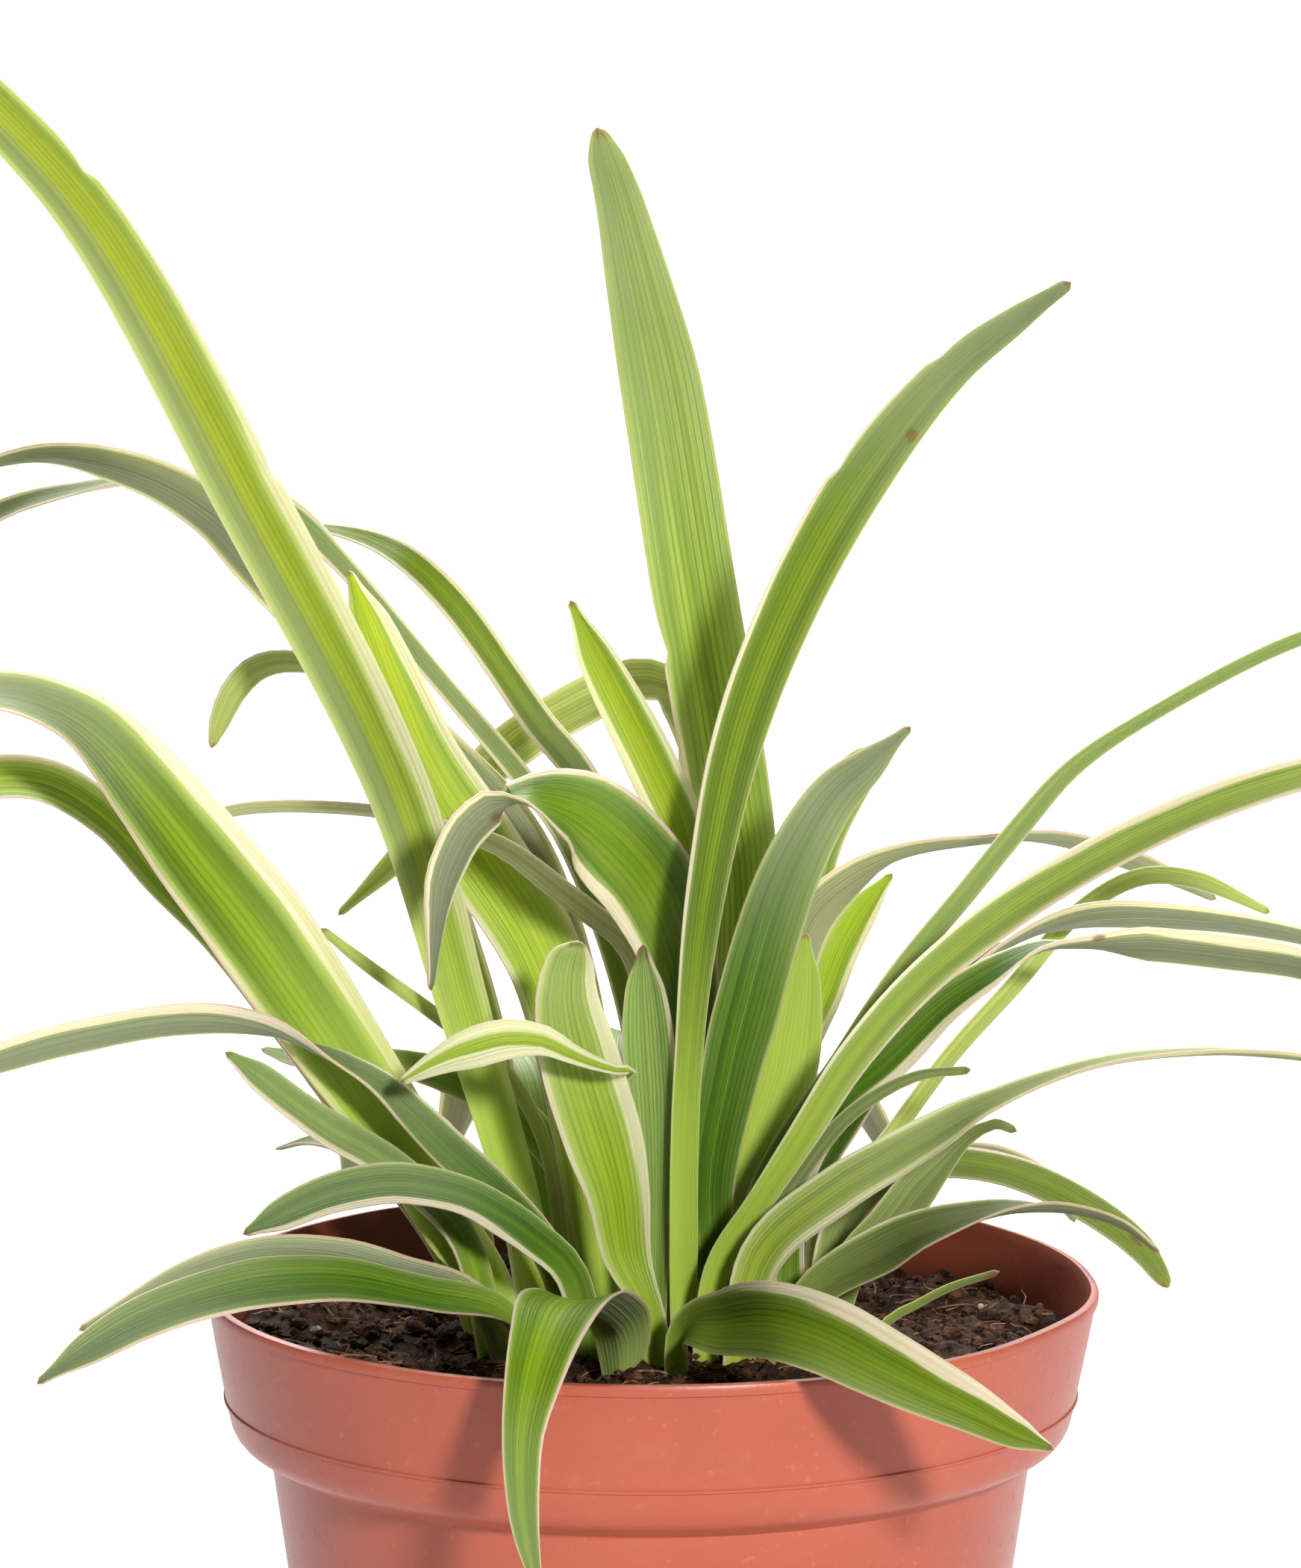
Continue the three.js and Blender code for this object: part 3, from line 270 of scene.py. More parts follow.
leaf("right_grey_arch", (13, 9), [AWAY, AWAY, (0, 0.4, 1), AWAY], [
    (16, 10, 130.5, 5), (19, 11, 143.9, 5.5), (22.2, 12, 152.7, 6), (26.6, 13, 157.2, 6.5),
    (32.8, 15, 160.6, 6), (43.8, 22, 161.5, 5.5), (55.2, 32, 160, 4.5), (66.6, 42, 154.9, 4),
    (78.5, 51, 148, TIP),
], "pale", (0.08, 0.1), (0.1, 0.1), tint=(1.1, 1.0, 1.4), under=0.7)
leaf("right_thin_long", (10, -7), [FRONT], [
    (14.2, -5.4, 118.6, 2.4), (25.6, -4.9, 137, 2.6), (33.2, -4.2, 148.4, 2.8), (41.9, -3.5, 158.9, 3),
    (49.5, 0, 167.6, 3), (56.5, 4, 174.7, 2.5), (67.4, 10, 181, 2), (88.1, 22, 189.4, 2),
    (100.5, 30, 190.6, TIP),
], "mid", (0.1, 0.1), (0.08, 0.08), dull=(0.0, 0.5, 0.4))
leaf("right_main", (7, -10), [FRONT, FRONT, (-0.1, -0.8, 0.6), (0, -0.6, 0.8)], [
    (8.9, -10, 109, 3.6), (14.4, -11.3, 118.4, 3.6), (20.6, -12, 128.3, 4.2), (26.4, -12, 137.6, 4.6),
    (35.2, -13, 148.2, 5), (46.6, -16.5, 158.5, 5.5), (59.7, -23, 168, 5.6), (72.2, -29, 175.2, 5.6),
    (84.6, -35, 180.5, 5.2), (95.4, -40, 184, 4), (105.1, -45, 185.8, TIP),
], "mid", (0.12, 0.14, 0.16, 0.2, 0.36, 0.5, 0.5), (0.08, 0.1, 0.2, 0.24, 0.1), tint=(1.45, 1.25, 1.8),
    foot=(0.7, 60), centre=0.5, dull=(0.1, 0.5, 0.25))
leaf("right_grey", (16, -6), [FRONT, UP, AWAY, AWAY], [
    (18.8, -5, 114.1, 4), (27.7, -3, 130, 4.8), (35.6, -1, 141.9, 5.6), (45.8, 1, 150.3, 6.4),
    (56.8, 5, 153.8, 6), (70.5, 10, 153.2, 4.2), (88.3, 18, 149.1, 2.8), (98.7, 25, 144.3, 2.2),
    (105.1, 30, 140, TIP),
], "deep", (0.05, 0.05), (0.06, 0.1, 0.25, 0.2), tint=(0.85, 0.8, 0.9), veins=0.45, under=0.9)
leaf("right_cream", (19, -10), [
    FRONT, FRONT, FRONT, FRONT, FRONT_UP, (0, -0.5, 0.9), (0, 0, 1), (0, 0.5, 0.9), AWAY, AWAY, AWAY, AWAY,
    AWAY,
], [
    (19.3, -8, 118.6, 4), (24.2, -7.5, 130, 5), (31.6, -7.5, 136.9, 5.6), (38.5, -7, 143.8, 5.8),
    (45.4, -7, 148.7, 5.6), (52.3, -7.5, 152.6, 5.4), (59.2, -8, 153, 5.4), (66, -9, 153, 5.4),
    (76.2, -11, 152.3, 5.4), (86.4, -14, 151.3, 4.8), (92.7, -17, 149.2, 3.6), (96.6, -19, 146.8, TIP),
], "deep", (0.12, 0.1, 0.05), (0.2, 0.5, 0.5, 0.4, 0.3, 0.4, 0.45), fade=0.7, under=0.85,
    spots=[(-0.8, 0.68)])
leaf("right_long", (11, -14), [FRONT, FRONT, UP, (0, 0.6, 0.8)], [
    (14.8, -15, 112.1, 6), (24.5, -17, 121.3, 6.5), (31.6, -19, 126.2, 6), (38.5, -22, 130.8, 5.5),
    (45.2, -26, 135.3, 5), (58.9, -34, 142.2, 4.4), (72.3, -42, 145.4, 4), (81.3, -47.5, 146.1, 3.4),
    (89.4, -52, 145.8, TIP),
], "fresh", (0.14, 0.2, 0.24, 0.2), (0.2, 0.4, 0.4, 0.2), tint=(1.8, 1.4, 3.0), margin=CREAM_BRIGHT,
    fade=0.8, soft=0.3, dull=(0.1, 0.5, 0.6))
leaf("right_droop", (22, 0), [FRONT_UP, FRONT_UP, (0.5, -0.7, 0.6)], [
    (25.8, -2, 113.6, 5), (31, -3, 119.6, 5), (36.1, -4, 122.1, 5), (46, -6, 122.1, 5),
    (55.5, -8, 118.8, 5), (64.8, -11, 112.8, 4.6), (69.1, -13, 107.3, 2.8),
], "mid", (0.08, 0.2, 0.2, 0.06, 0.02), (0.08, 0.06), tint=(0.78, 0.7, 1.2), dull=(0.6, 0.3, 0.4),
    spots=[(0.2, 0.9)])
leaf("right_low", (16, -16), [FRONT, FRONT_UP, (0.2, 0.3, 0.9), (0.4, 0.5, 0.7)], [
    (21.2, -16, 106.7, 5), (31.6, -17, 113.6, 7), (36.6, -19, 116.5, 7), (46, -23, 120, 6),
    (52.3, -26, 121.1, 5.2), (57.8, -29, 121, 4), (62.4, -32, 119.9, 3), (66.8, -35, 117.1, TIP),
], "grey", (0.06, 0.1), (0.06, 0.06), tint=(0.5, 0.52, 0.4))
leaf("front_right", (4, -22), [(-0.6, -0.5, 0.6), FRONT, (0.15, -0.85, 0.5), (0.3, -0.8, 0.6)], [
    (4.3, -25, 103.9, 5), (9.7, -36, 107.9, 9), (15.8, -48, 110.9, 10.2), (22.8, -58, 111, 10.4),
    (29.2, -65, 109.2, 9.8), (35.1, -70, 107.2, 8.8), (41, -74, 105.2, 7), (46.8, -77, 102.7, 4.5),
    (51.3, -79, 101.2, TIP),
], "fresh", (0.1, 0.12, 0.26, 0.5, 0.46, 0.2), (0.05, 0.04), tint=(0.82, 0.8, 0.7), centre=0.3)
leaf("front_hanging", (-4, -20), [
    (0, 0.8, 0.6), (0, 0.3, 1), (0, -0.5, 0.8), (0.2, -1, 0.3), (0.3, -1, 0.1),
], [
    (-3.9, -26, 103.9, 8), (-6.3, -36, 109.7, 10.5), (-9.4, -46, 113.7, 12), (-11.7, -54, 114.2, 11.5),
    (-13.4, -60, 111.7, 9.5), (-15.1, -66, 107.2, 7.5), (-16.4, -70, 101.2, 5.5), (-16.5, -72, 94.5, 4.5),
    (-16, -73, 89, 3.5), (-14, -72, 79, TIP),
], "fresh", (0.06, 0.14), (0.08, 0.1), tint=(0.85, 0.92, 0.05), centre=0.5, sides=0.1, fade=0.3,
    dull=(0.6, 1.0, 0.4))
leaf("front_left", (-13.5, -17), [(0.2, -0.3, 0.9), (0, -0.6, 0.8), (-0.2, -0.7, 0.7)], [
    (-19, -22, 105.4, 6.5), (-29.4, -27.5, 109.3, 7.5), (-39.9, -33.5, 112.7, 8.5),
    (-47.7, -38, 113.7, 8.5), (-55, -41, 113.2, 8), (-65.8, -46, 110.7, 7), (-73.2, -49, 107.2, 5),
    (-79.7, -51, 103.2, TIP),
], "deep", (0.06, 0.1, 0.16, 0.1), (0.05, 0.04), tint=(1.1, 1.1, 0.65), centre=0.25, fade=0.3,
    dull=(0.4, 0.9, 0.5))
leaf("front_left_grey", (-17.5, -12.5), [(0, 0.3, 1), AWAY, (-0.3, 0.9, 0.4)], [
    (-24, -17.5, 107.5, 4.5), (-33.7, -22.5, 112, 5), (-40.5, -26, 114.6, 5), (-50.4, -32, 116.6, 4.5),
    (-60.3, -37, 115.1, 3.5), (-74.7, -42, 108.2, TIP),
], "grey", (0.06, 0.08), (0.06, 0.06), dull=(0.0, 0.3, 0.9))
leaf("left_over_rim", (-7, -13), [FRONT, (0, -0.8, 0.6), (-0.2, -0.8, 0.5)], [
    (-10.6, -15, 109.6, 4.5), (-15.1, -17, 114.6, 5), (-20.1, -19, 118.6, 5.5), (-24.9, -21, 121.6, 5.5),
    (-32.7, -23, 123.6, 6), (-38, -25, 123.6, 6), (-43.5, -27, 122.6, 5.5), (-48.8, -29, 120.6, 4.5),
    (-53.6, -31, 118.6, TIP),
], "deep", (0.14, 0.3, 0.5, 0.5, 0.4), (0.06, 0.1), tint=(0.8, 0.95, 0.6), dull=(0.3, 0.7, 0.35))
leaf("left_low_long", (-10, -8), [FRONT, (0, -0.8, 0.6), UP, AWAY, AWAY], [
    (-12.9, -11, 110.1, 4.5), (-20.3, -13, 120.1, 5), (-26.7, -14, 126.1, 5.5), (-31.3, -15, 131, 5.5),
    (-35.8, -16, 135.5, 5.5), (-40.9, -17, 138.9, 5.5), (-45.9, -17.5, 141.5, 5.2),
    (-51.2, -18.5, 143.9, 5), (-60.8, -21, 145.3, 5.2), (-75.6, -26, 143.9, 5.2), (-85.5, -30, 141.9, 4.6),
    (-94, -34, 139.3, TIP),
], "deep", (0.1, 0.16, 0.1, 0.5, 0.5, 0.4), (0.08, 0.1, 0.12, 0.08, 0.06), under=0.8, dull=(0.2, 0.5, 0.4))
leaf("left_low", (-20.5, -8), [(0.3, -0.8, 0.5)], [
    (-25, -11.5, 113.4, 4.5), (-31.4, -13.5, 121.4, 5), (-36, -14, 125.2, 5), (-42.1, -14.5, 128.8, 5),
    (-47, -15, 132.4, 4.5), (-52, -15.5, 136.5, 4), (-56.4, -16, 140, TIP),
], "fresh", (0.1, 0.3, 0.2), (0.08, 0.06), dull=(0.2, 0.7, 0.4))
leaf("curled", (3, -10), [FRONT], [
    (-1.6, -12.4, 112.1, 2.5), (-3.6, -11.6, 124, 2.2), (-5, -11.2, 133.4, 1.6), (-2.4, -15, 137.2, 1.2),
    (-4.6, -18.6, 138.2, 1.4), (-7.9, -20.3, 139.6, 2), (-11, -21.5, 141.2, 2.8), (-14.1, -22.5, 142.9, 4),
    (-18.9, -23.5, 143.3, 5.4), (-22.8, -24, 142.4, 5.6), (-26.7, -24, 141, 4.2),
    (-30.7, -23.5, 138.8, 2.2), (-33.1, -23, 137.3, TIP),
], "fresh", (0.4, 0.6, 0.7), (0.4, 0.5, 0.55), tint=(1.5, 1.3, 3.0), margin=CREAM_BRIGHT, fade=0.9)
leaf("front_upright", (2, -16), [FRONT, FRONT, FRONT, FRONT, FRONT_UP], [
    (-0.3, -16, 105.2, 4), (-3.1, -15, 112.1, 6.5), (-4.3, -15, 120.6, 8.5), (-6.1, -15, 127.5, 10.5),
    (-9.1, -15, 137.5, 10.8), (-11.1, -14, 147, 8.4), (-10.6, -12.5, 151.4, 6.4), (-9.4, -9.5, 153.6, 3),
], "bright", (0.14, 0.12, 0.1), (0.1, 0.16, 0.3, 0.36, 0.3), margin=CREAM_BRIGHT, centre=0.2, rib=0.0,
    veins=0.65, fade=0.9, soft=0.3, dull=(0.5, 0.95, 0.35), spots=[(0.6, 0.99)])
leaf("centre_brown_tip", (0, -4), [(-0.3, -1, 0.2)], [
    (0.6, -4.2, 118.1, 5), (0.4, -4.4, 130, 7), (-0.1, -4.5, 138.4, 7.3), (-0.6, -4.5, 146.3, 5.5),
    (-1, -4.5, 152.3, 1.5),
], "grey", (0.06, 0.1), (0.03, 0.04, 0.1, 0.3), tint=(1.1, 1.35, 0.9), rib=0.0, veins=0.7, tip=3)
leaf("back_left_dark", (-9, 9), [FRONT, (0, -0.5, 0.9)], [
    (-10.8, 12, 115.6, 4.5), (-18.1, 13, 125.5, 5), (-26.4, 14, 130, 5), (-33.6, 16, 131.8, 4.5),
    (-48.1, 22, 131.5, 3.5), (-53.2, 25, 132.1, TIP),
], "mid", (0.06, 0.06), (0.06, 0.06))
leaf("back_arch_long", (9, 16), [AWAY, AWAY, AWAY, (-0.2, 0.9, 0.3)], [
    (9, 20, 133.5, 4.5), (8.8, 25, 158.6, 5), (6.8, 28, 173.4, 6), (2.3, 31, 181.2, 6.5),
    (-1.8, 33, 181.7, 7), (-7.3, 35, 179.2, 7.3), (-17.4, 38, 172.8, 7.3), (-24.3, 40, 166.5, 6),
    (-35.9, 42, 154.2, 3.5), (-43.1, 43, 147.3, TIP),
], "pale", (0.1, 0.08), (0.2, 0.2), under=0.1)
leaf("back_arch_short", (-7, 19), [AWAY, AWAY, AWAY, (-0.4, 0.9, 0.4)], [
    (-12.8, 21, 133.5, 4), (-19.4, 22, 154.2, 4), (-27.5, 22, 170.4, 4), (-34.6, 22, 180.2, 4),
    (-41.7, 22, 185.1, 3.8), (-47.6, 22, 186.1, 3.4), (-51.2, 22, 186, 3.8), (-54, 22, 184.8, 4),
    (-56.6, 22, 181.8, 3.8), (-58.4, 22, 177.8, 3), (-59.6, 22, 174.3, TIP),
], "pale", (0.08, 0.08), (0.1, 0.1), under=0.1)
leaf("thin_grey", (-1, 9), [AWAY], [
    (0.8, 10, 130.5, 3), (-2.6, 11, 148.3, 3.5), (-8.1, 10, 153.7, 3.5), (-12.7, 7.6, 157.7, 3.5),
    (-20.3, 6.4, 163.6, 3), (-29.5, 7.4, 166.3, 2.5), (-38.9, 16, 166.8, 2.2), (-57.1, 30, 164.2, 2),
    (-65.6, 34, 160, TIP),
], "pale", (0.1, 0.1), (0.2, 0.2), tint=(1.25, 1.1, 2.0), under=0.1)
leaf("thin_left", (-11, 3.4), [FRONT], [
    (-12.7, 3.9, 116.1, 2), (-15.1, 4.7, 125.5, 2), (-20.1, 5.5, 133.5, 2), (-28, 6, 139.9, 2),
    (-38.9, 7, 147.8, 1.8), (-44.4, 7.5, 152.2, TIP),
], "pale", (0.08, 0.08), (0.1, 0.1))
leaf("bright_behind", (17, 12), [FRONT], [
    (19.1, 14, 130, 4.5), (23.7, 16, 141.9, 5), (26.2, 17, 148.3, 5), (29.2, 18, 153.2, 4),
    (32.8, 19, 157.6, TIP),
], "bright", (0.08, 0.06), (0.2, 0.4, 0.4), margin=CREAM_BRIGHT)
leaf("bright_narrow", (21, 5), [FRONT], [
    (26.1, 5, 115.1, 2.5), (33.2, 6, 125, 2.5), (40.6, 7, 135, 2.5), (49.5, 9, 144.6, 2.5),
    (57.5, 13, 153.1, 2.5), (65.7, 19, 156.9, 2.5), (73.9, 26, 155.5, 2.5), (84.9, 33, 149.6, TIP),
], "pale", (0.14, 0.14), (0.1, 0.1))
leaf("thin_curled", (14.5, -11.5), [FRONT], [
    (16.8, -11, 116.1, 2.5), (21.6, -11, 124.6, 2.2), (26.9, -12, 131, 2), (35, -13, 136, 1.5),
    (42.6, -13, 137, TIP),
], "grey", (0.1, 0.1), (0.1, 0.1))
leaf("curled_tip", (23, -7), [FRONT], [
    (26.3, -9, 108.6, 5), (31.8, -10, 115.1, 6), (35.9, -10, 120.6, 5.5), (39.2, -10, 124.1, 3.5),
    (42.1, -10, 127, 2), (45.9, -10, 129, 1.5), (48.9, -10, 128, TIP),
], "grey", (0.1, 0.1), (0.08, 0.08))
leaf("young", (28, 3), [FRONT], [
    (32, 1.5, 99.4, 1.3), (35.8, 0, 102, 1.2), (40.1, -2, 104.8, 1.1), (46.8, -5, 107.7, 0.9),
], "grey", (0.1, 0.1), (0.1, 0.1), tip=3)

# Leaves that fill the unseen back
leaf("back_left_low", (-21.5, 11.5), [(0.2, -0.3, 1)], [
    (-26.1, 25, 112.1, 7), (-32, 41, 118.1, 8.5), (-37, 54, 116.6, 8), (-41, 65, 110.1, 6),
    (-43.5, 72, 103.1, TIP),
], "mid", (0.12, 0.16), (0.08, 0.08), centre=0.3)
leaf("back_left", (-12, 25), [(0.1, -0.3, 1)], [
    (-15.1, 37, 118.1, 8), (-18.1, 49, 126, 9), (-23.1, 61, 124, 9), (-27.1, 72, 113.1, 6),
    (-29.2, 77, 102.1, TIP),
], "fresh", (0.14, 0.14), (0.16, 0.12), centre=0.5)
leaf("back_centre", (-2, 22), [(0, -0.3, 1)], [
    (-3.1, 37, 118.1, 8), (-3.1, 51, 128, 9), (-2.2, 64, 126, 8.5), (-2.2, 75, 115.1, 6),
    (-2.2, 79.6, 104.1, TIP),
], "mid", (0.12, 0.1), (0.2, 0.24), centre=0.3)
leaf("back_right", (11, 21), [(-0.1, -0.3, 1)], [
    (14.8, 37, 116.1, 8), (19.8, 50, 123, 9), (25.8, 62, 120, 9), (31.8, 72, 111.1, 6),
    (34.8, 77, 101.1, TIP),
], "deep", (0.1, 0.16), (0.08, 0.08), centre=0.4)
leaf("back_right_low", (22, 15), [(-0.2, -0.2, 1)], [
    (26.8, 28, 112.1, 7), (37.8, 41, 115.1, 8), (48.8, 55, 111.1, 7), (56.8, 65, 103.6, 4.5),
    (60, 70, 98, TIP),
], "fresh", (0.16, 0.3), (0.06, 0.06))
leaf("back_tall", (5, 26), [(0.3, -1, 0.25), (0.2, -0.7, 0.7)], [
    (5.8, 34, 130, 8), (7.8, 42, 159.6, 9), (7.8, 48, 184.1, 9), (5.8, 56, 203.6, 8), (3.8, 66, 216.2, 5),
    (2.8, 74, 220.1, TIP),
], "mid", (0.14, 0.06), (0.18, 0.12), centre=0.4, veins=0.5)
leaf("back_tall_left", (-15, 15), [(-0.4, -1, 0.25), (0.1, -0.7, 0.7)], [
    (-21.1, 24, 128, 6), (-29.5, 32, 151.7, 8), (-37.3, 40, 171.4, 8), (-45.7, 50, 185.1, 6),
    (-49.6, 58, 189.9, TIP),
], "mid", (0.1, 0.06), (0.12, 0.18))
leaf("back_tall_right", (16.5, 22), [(0.4, -1, 0.25), (0.3, -0.7, 0.7)], [
    (17.8, 28, 126, 7), (19.7, 36, 145.8, 8), (23.2, 44, 159.6, 8), (29.6, 54, 166.4, 5),
    (32.6, 60, 168.4, TIP),
], "fresh", (0.18, 0.12), (0.1, 0.06), centre=0.4)
leaf("back_side_left", (-21, 8), [(0.2, -0.3, 1)], [
    (-28.1, 14, 112.1, 6), (-38.1, 20, 118.1, 6), (-46, 26, 119.1, 5), (-51.5, 30, 117.1, TIP),
], "deep", (0.08, 0.08), (0.18, 0.22))


def linear(colour):
    """Screen colour in 0 to 255 as a linear one."""
    parts = [c / 255 for c in colour]
    return (*(p / 12.92 if p <= 0.04045 else ((p + 0.055) / 1.055) ** 2.4 for p in parts), 1.0)


class Nodes:
    """Short calls for the nodes of one material."""

    def __init__(self, name):
        self.material = bpy.data.materials.new(name)
        self.material.use_nodes = True
        self.tree = self.material.node_tree
        self.shader = self.tree.nodes["Principled BSDF"]

    def feed(self, socket, value):
        if isinstance(value, bpy.types.NodeSocket):
            self.tree.links.new(value, socket)
        else:
            socket.default_value = value

    def node(self, kind, inputs=None, **settings):
        made = self.tree.nodes.new("ShaderNode" + kind)
        for key, value in settings.items():
            setattr(made, key, value)
        for key, value in (inputs or {}).items():
            self.feed(made.inputs[key], value)
        return made

    def set(self, **inputs):
        for key, value in inputs.items():
            self.feed(self.shader.inputs[key.replace("_", " ")], value)

    def math(self, operation, *values):
        return self.node("Math", dict(enumerate(values)), operation=operation).outputs[0]

    def times(self, a, b):
        return self.math("MULTIPLY", a, b)

    def plus(self, a, b):
        return self.math("ADD", a, b)

    def minus(self, a, b):
        return self.math("SUBTRACT", a, b)

    def mix(self, share, first, second):
        """Colour that is the first where share is 0 and the second where it is 1.

        A tuple is a screen colour.
        """
        first, second = (linear(c) if isinstance(c, tuple) else c for c in (first, second))
        made = self.node("Mix", {0: share, 6: first, 7: second}, data_type="RGBA")
        return made.outputs[2]

    def step(self, value, low, high, to_low=0.0, to_high=1.0):
        """Smooth step of a value, from to_low at low to to_high at high."""
        inputs = {0: value, 1: low, 2: high, 3: to_low, 4: to_high}
        return self.node("MapRange", inputs, interpolation_type="SMOOTHSTEP").outputs[0]

    def line(self, value, low, high, to_low=0.0, to_high=1.0):
        """The same as step, but straight."""
        return self.node("MapRange", {0: value, 1: low, 2: high, 3: to_low, 4: to_high}).outputs[0]

    def vector(self, x, y, z):
        return self.node("CombineXYZ", {0: x, 1: y, 2: z}).outputs[0]

    def noise(self, vector, scale, detail=2.0, roughness=0.5):
        inputs = {"Vector": vector, "Scale": scale, "Detail": detail, "Roughness": roughness}
        return self.node("TexNoise", inputs).outputs["Fac"]

    def bump(self, height, distance, strength):
        inputs = {"Height": height, "Distance": distance, "Strength": strength}
        return self.node("Bump", inputs).outputs["Normal"]


def add(name, data):
    """Object with this data, in the scene."""
    made = bpy.data.objects.new(name, data)
    bpy.context.collection.objects.link(made)
    return made


def make(name, points, faces, material, sharp=50):
    """Piece from points in millimetres, with creases where it turns by more than sharp degrees."""
    mesh = bpy.data.meshes.new(name)
    mesh.from_pydata([tuple(c * MM for c in p) for p in points], [], faces)
    mesh.update()
    mesh.shade_smooth()
    mesh.set_sharp_from_angle(angle=math.radians(sharp))
    mesh.materials.append(material)
    piece = add(name, mesh)
    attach(piece, "root")
    return piece


# Blades


def spline_point(knots, share):
    """Point on a centripetal Catmull-Rom curve through the knots."""
    place = share * (len(knots) - 1)
    low = min(int(place), len(knots) - 2)
    t = place - low
    p1, p2 = knots[low], knots[low + 1]
    p0 = knots[low - 1] if low > 0 else 2 * p1 - p2
    p3 = knots[low + 2] if low + 2 < len(knots) else 2 * p2 - p1
    d0, d1, d2 = ((b - a).length ** 0.5 for a, b in ((p0, p1), (p1, p2), (p2, p3)))
    t1 = ((p1 - p0) / d0 - (p2 - p0) / (d0 + d1) + (p2 - p1) / d1) * d1
    t2 = ((p2 - p1) / d1 - (p3 - p1) / (d1 + d2) + (p3 - p2) / d2) * d1
    return p1 + t * t1 + t * t * (3 * (p2 - p1) - 2 * t1 - t2) + t * t * t * (2 * (p1 - p2) + t1 + t2)


def smooth_value(values, share):
    """Value on a smooth curve through a list, never past its neighbours."""
    place = share * (len(values) - 1)
    low = min(int(place), len(values) - 2)
    t = place - low
    v0, v1 = values[max(low - 1, 0)], values[low]
    v2, v3 = values[low + 1], values[min(low + 2, len(values) - 1)]
    m1 = 0 if (v2 - v1) * (v1 - v0) <= 0 else (v2 - v0) / 2
    m2 = 0 if (v3 - v2) * (v2 - v1) <= 0 else (v3 - v1) / 2
    a, b = 3 * (v2 - v1) - 2 * m1 - m2, 2 * (v1 - v2) + m1 + m2
    return v1 + t * m1 + t * t * a + t * t * t * b


def mixed(a, b, t):
    return a + (b - a) * t


def face_at(faces, share):
    """Direction at a share of the way through a list of directions."""
    place = share * (len(faces) - 1)
    low = min(int(place), len(faces) - 1)
    high = min(low + 1, len(faces) - 1)
    return Vector(faces[low]).lerp(Vector(faces[high]), place - low)


def blade(name, base, directions, route, looks, seed):
    """Closed strap blade with a rounded channel, wavy thin edges and a tapering tip."""
    knots = [Vector((*base, LEAF_FOOT))] + [Vector(p[:3]) for p in route]
    widths = [min(FOOT_WIDTH, route[0][3])] + [p[3] for p in route]
    spans = len(knots) - 1
    shares = [0.0]
    for span in range(spans):
        row_length = ROW_LENGTH if span < spans - 1 else TIP_ROW_LENGTH
        steps = max(2, round((knots[span + 1] - knots[span]).length / row_length))
        shares += [(span + (i + 1) / steps) / spans for i in range(steps)]
    middles = [spline_point(knots, share) for share in shares]
    runs = [0.0]
    for a, b in zip(middles, middles[1:]):
        runs.append(runs[-1] + (b - a).length)
    length = runs[-1]

    points, coordinates = [], []
    for share, middle, run in zip(shares, middles, runs):
        ahead = spline_point(knots, min(share + 1e-3, 1))
        behind = spline_point(knots, max(share - 1e-3, 0))
        along = (ahead - behind).normalized()
        face = face_at(directions, share)
        up = (face - along * face.dot(along)).normalized()
        across = up.cross(along)
        width = smooth_value(widths, share)
        fold = width * mixed(FOOT_FOLD, BLADE_FOLD, min(1, share * 3))
        tip = min(1.0, max(length - run, 0.0) / (TIP_ROUNDING * widths[-1]))
        width *= TIP_WIDTH + (1 - TIP_WIDTH) * math.sqrt(1 - (1 - tip) ** 2)
        row = []
        for i in range(COLUMNS + 1):
            u = 1 - 2 * i / COLUMNS
            half = width / 2
            for at, side, depth in looks["nicks"]:
                past = (run - at * length) / NICK_LENGTH
                if u * side > 0 and 0 < past < 1:
                    half -= depth * (1 - past) ** 2 * abs(u) ** 4
            # Each edge of each blade takes its waves from a line of its own in the noise
            waves = noise.noise(Vector((run * WAVE_PACE, seed * 3.7, 2.0 if u > 0 else 7.0)))
            ripple = noise.noise(Vector((run * RIPPLE_PACE, seed * 5.1, 4.0 if u > 0 else 9.0)))
            rise = fold * (abs(u) ** FOLD_POWER - 0.5)
            rise += EDGE_WAVE * (waves + RIPPLE_SHARE * ripple) * u * u * min(1, width / WAVY_WIDTH)
            row.append((u, half, rise))
        thin = mixed(TIP_THICKNESS, 1, tip)
        for sign in (1, -1):
            for u, half, rise in row:
                thick = mixed(THICK_MIDDLE, THICK_EDGE, abs(u)) * thin
                points.append(middle + across * (u * half) + up * (rise + sign * thick / 2))
                coordinates.append((u, run * MM, 0.0 if sign > 0 else 1.0))

    faces = []
    per_row = 2 * (COLUMNS + 1)
    ring = list(range(COLUMNS + 1)) + list(range(per_row - 1, COLUMNS, -1))
    for row in range(len(shares) - 1):
        start = row * per_row
        for a, b in zip(ring, ring[1:] + ring[:1]):
            faces.append((start + b, start + a, start + a + per_row, start + b + per_row))
    faces.append(tuple(ring))
    faces.append(tuple(start + per_row + i for i in reversed(ring)))

    material = leaf_material(name, looks, length, seed)
    piece = make(name.replace("leaf_", "blade_"), points, faces, material)
    data = piece.data.attributes.new("blade", "FLOAT_VECTOR", "POINT").data
    data.foreach_set("vector", [c for place in coordinates for c in place])
    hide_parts(name)


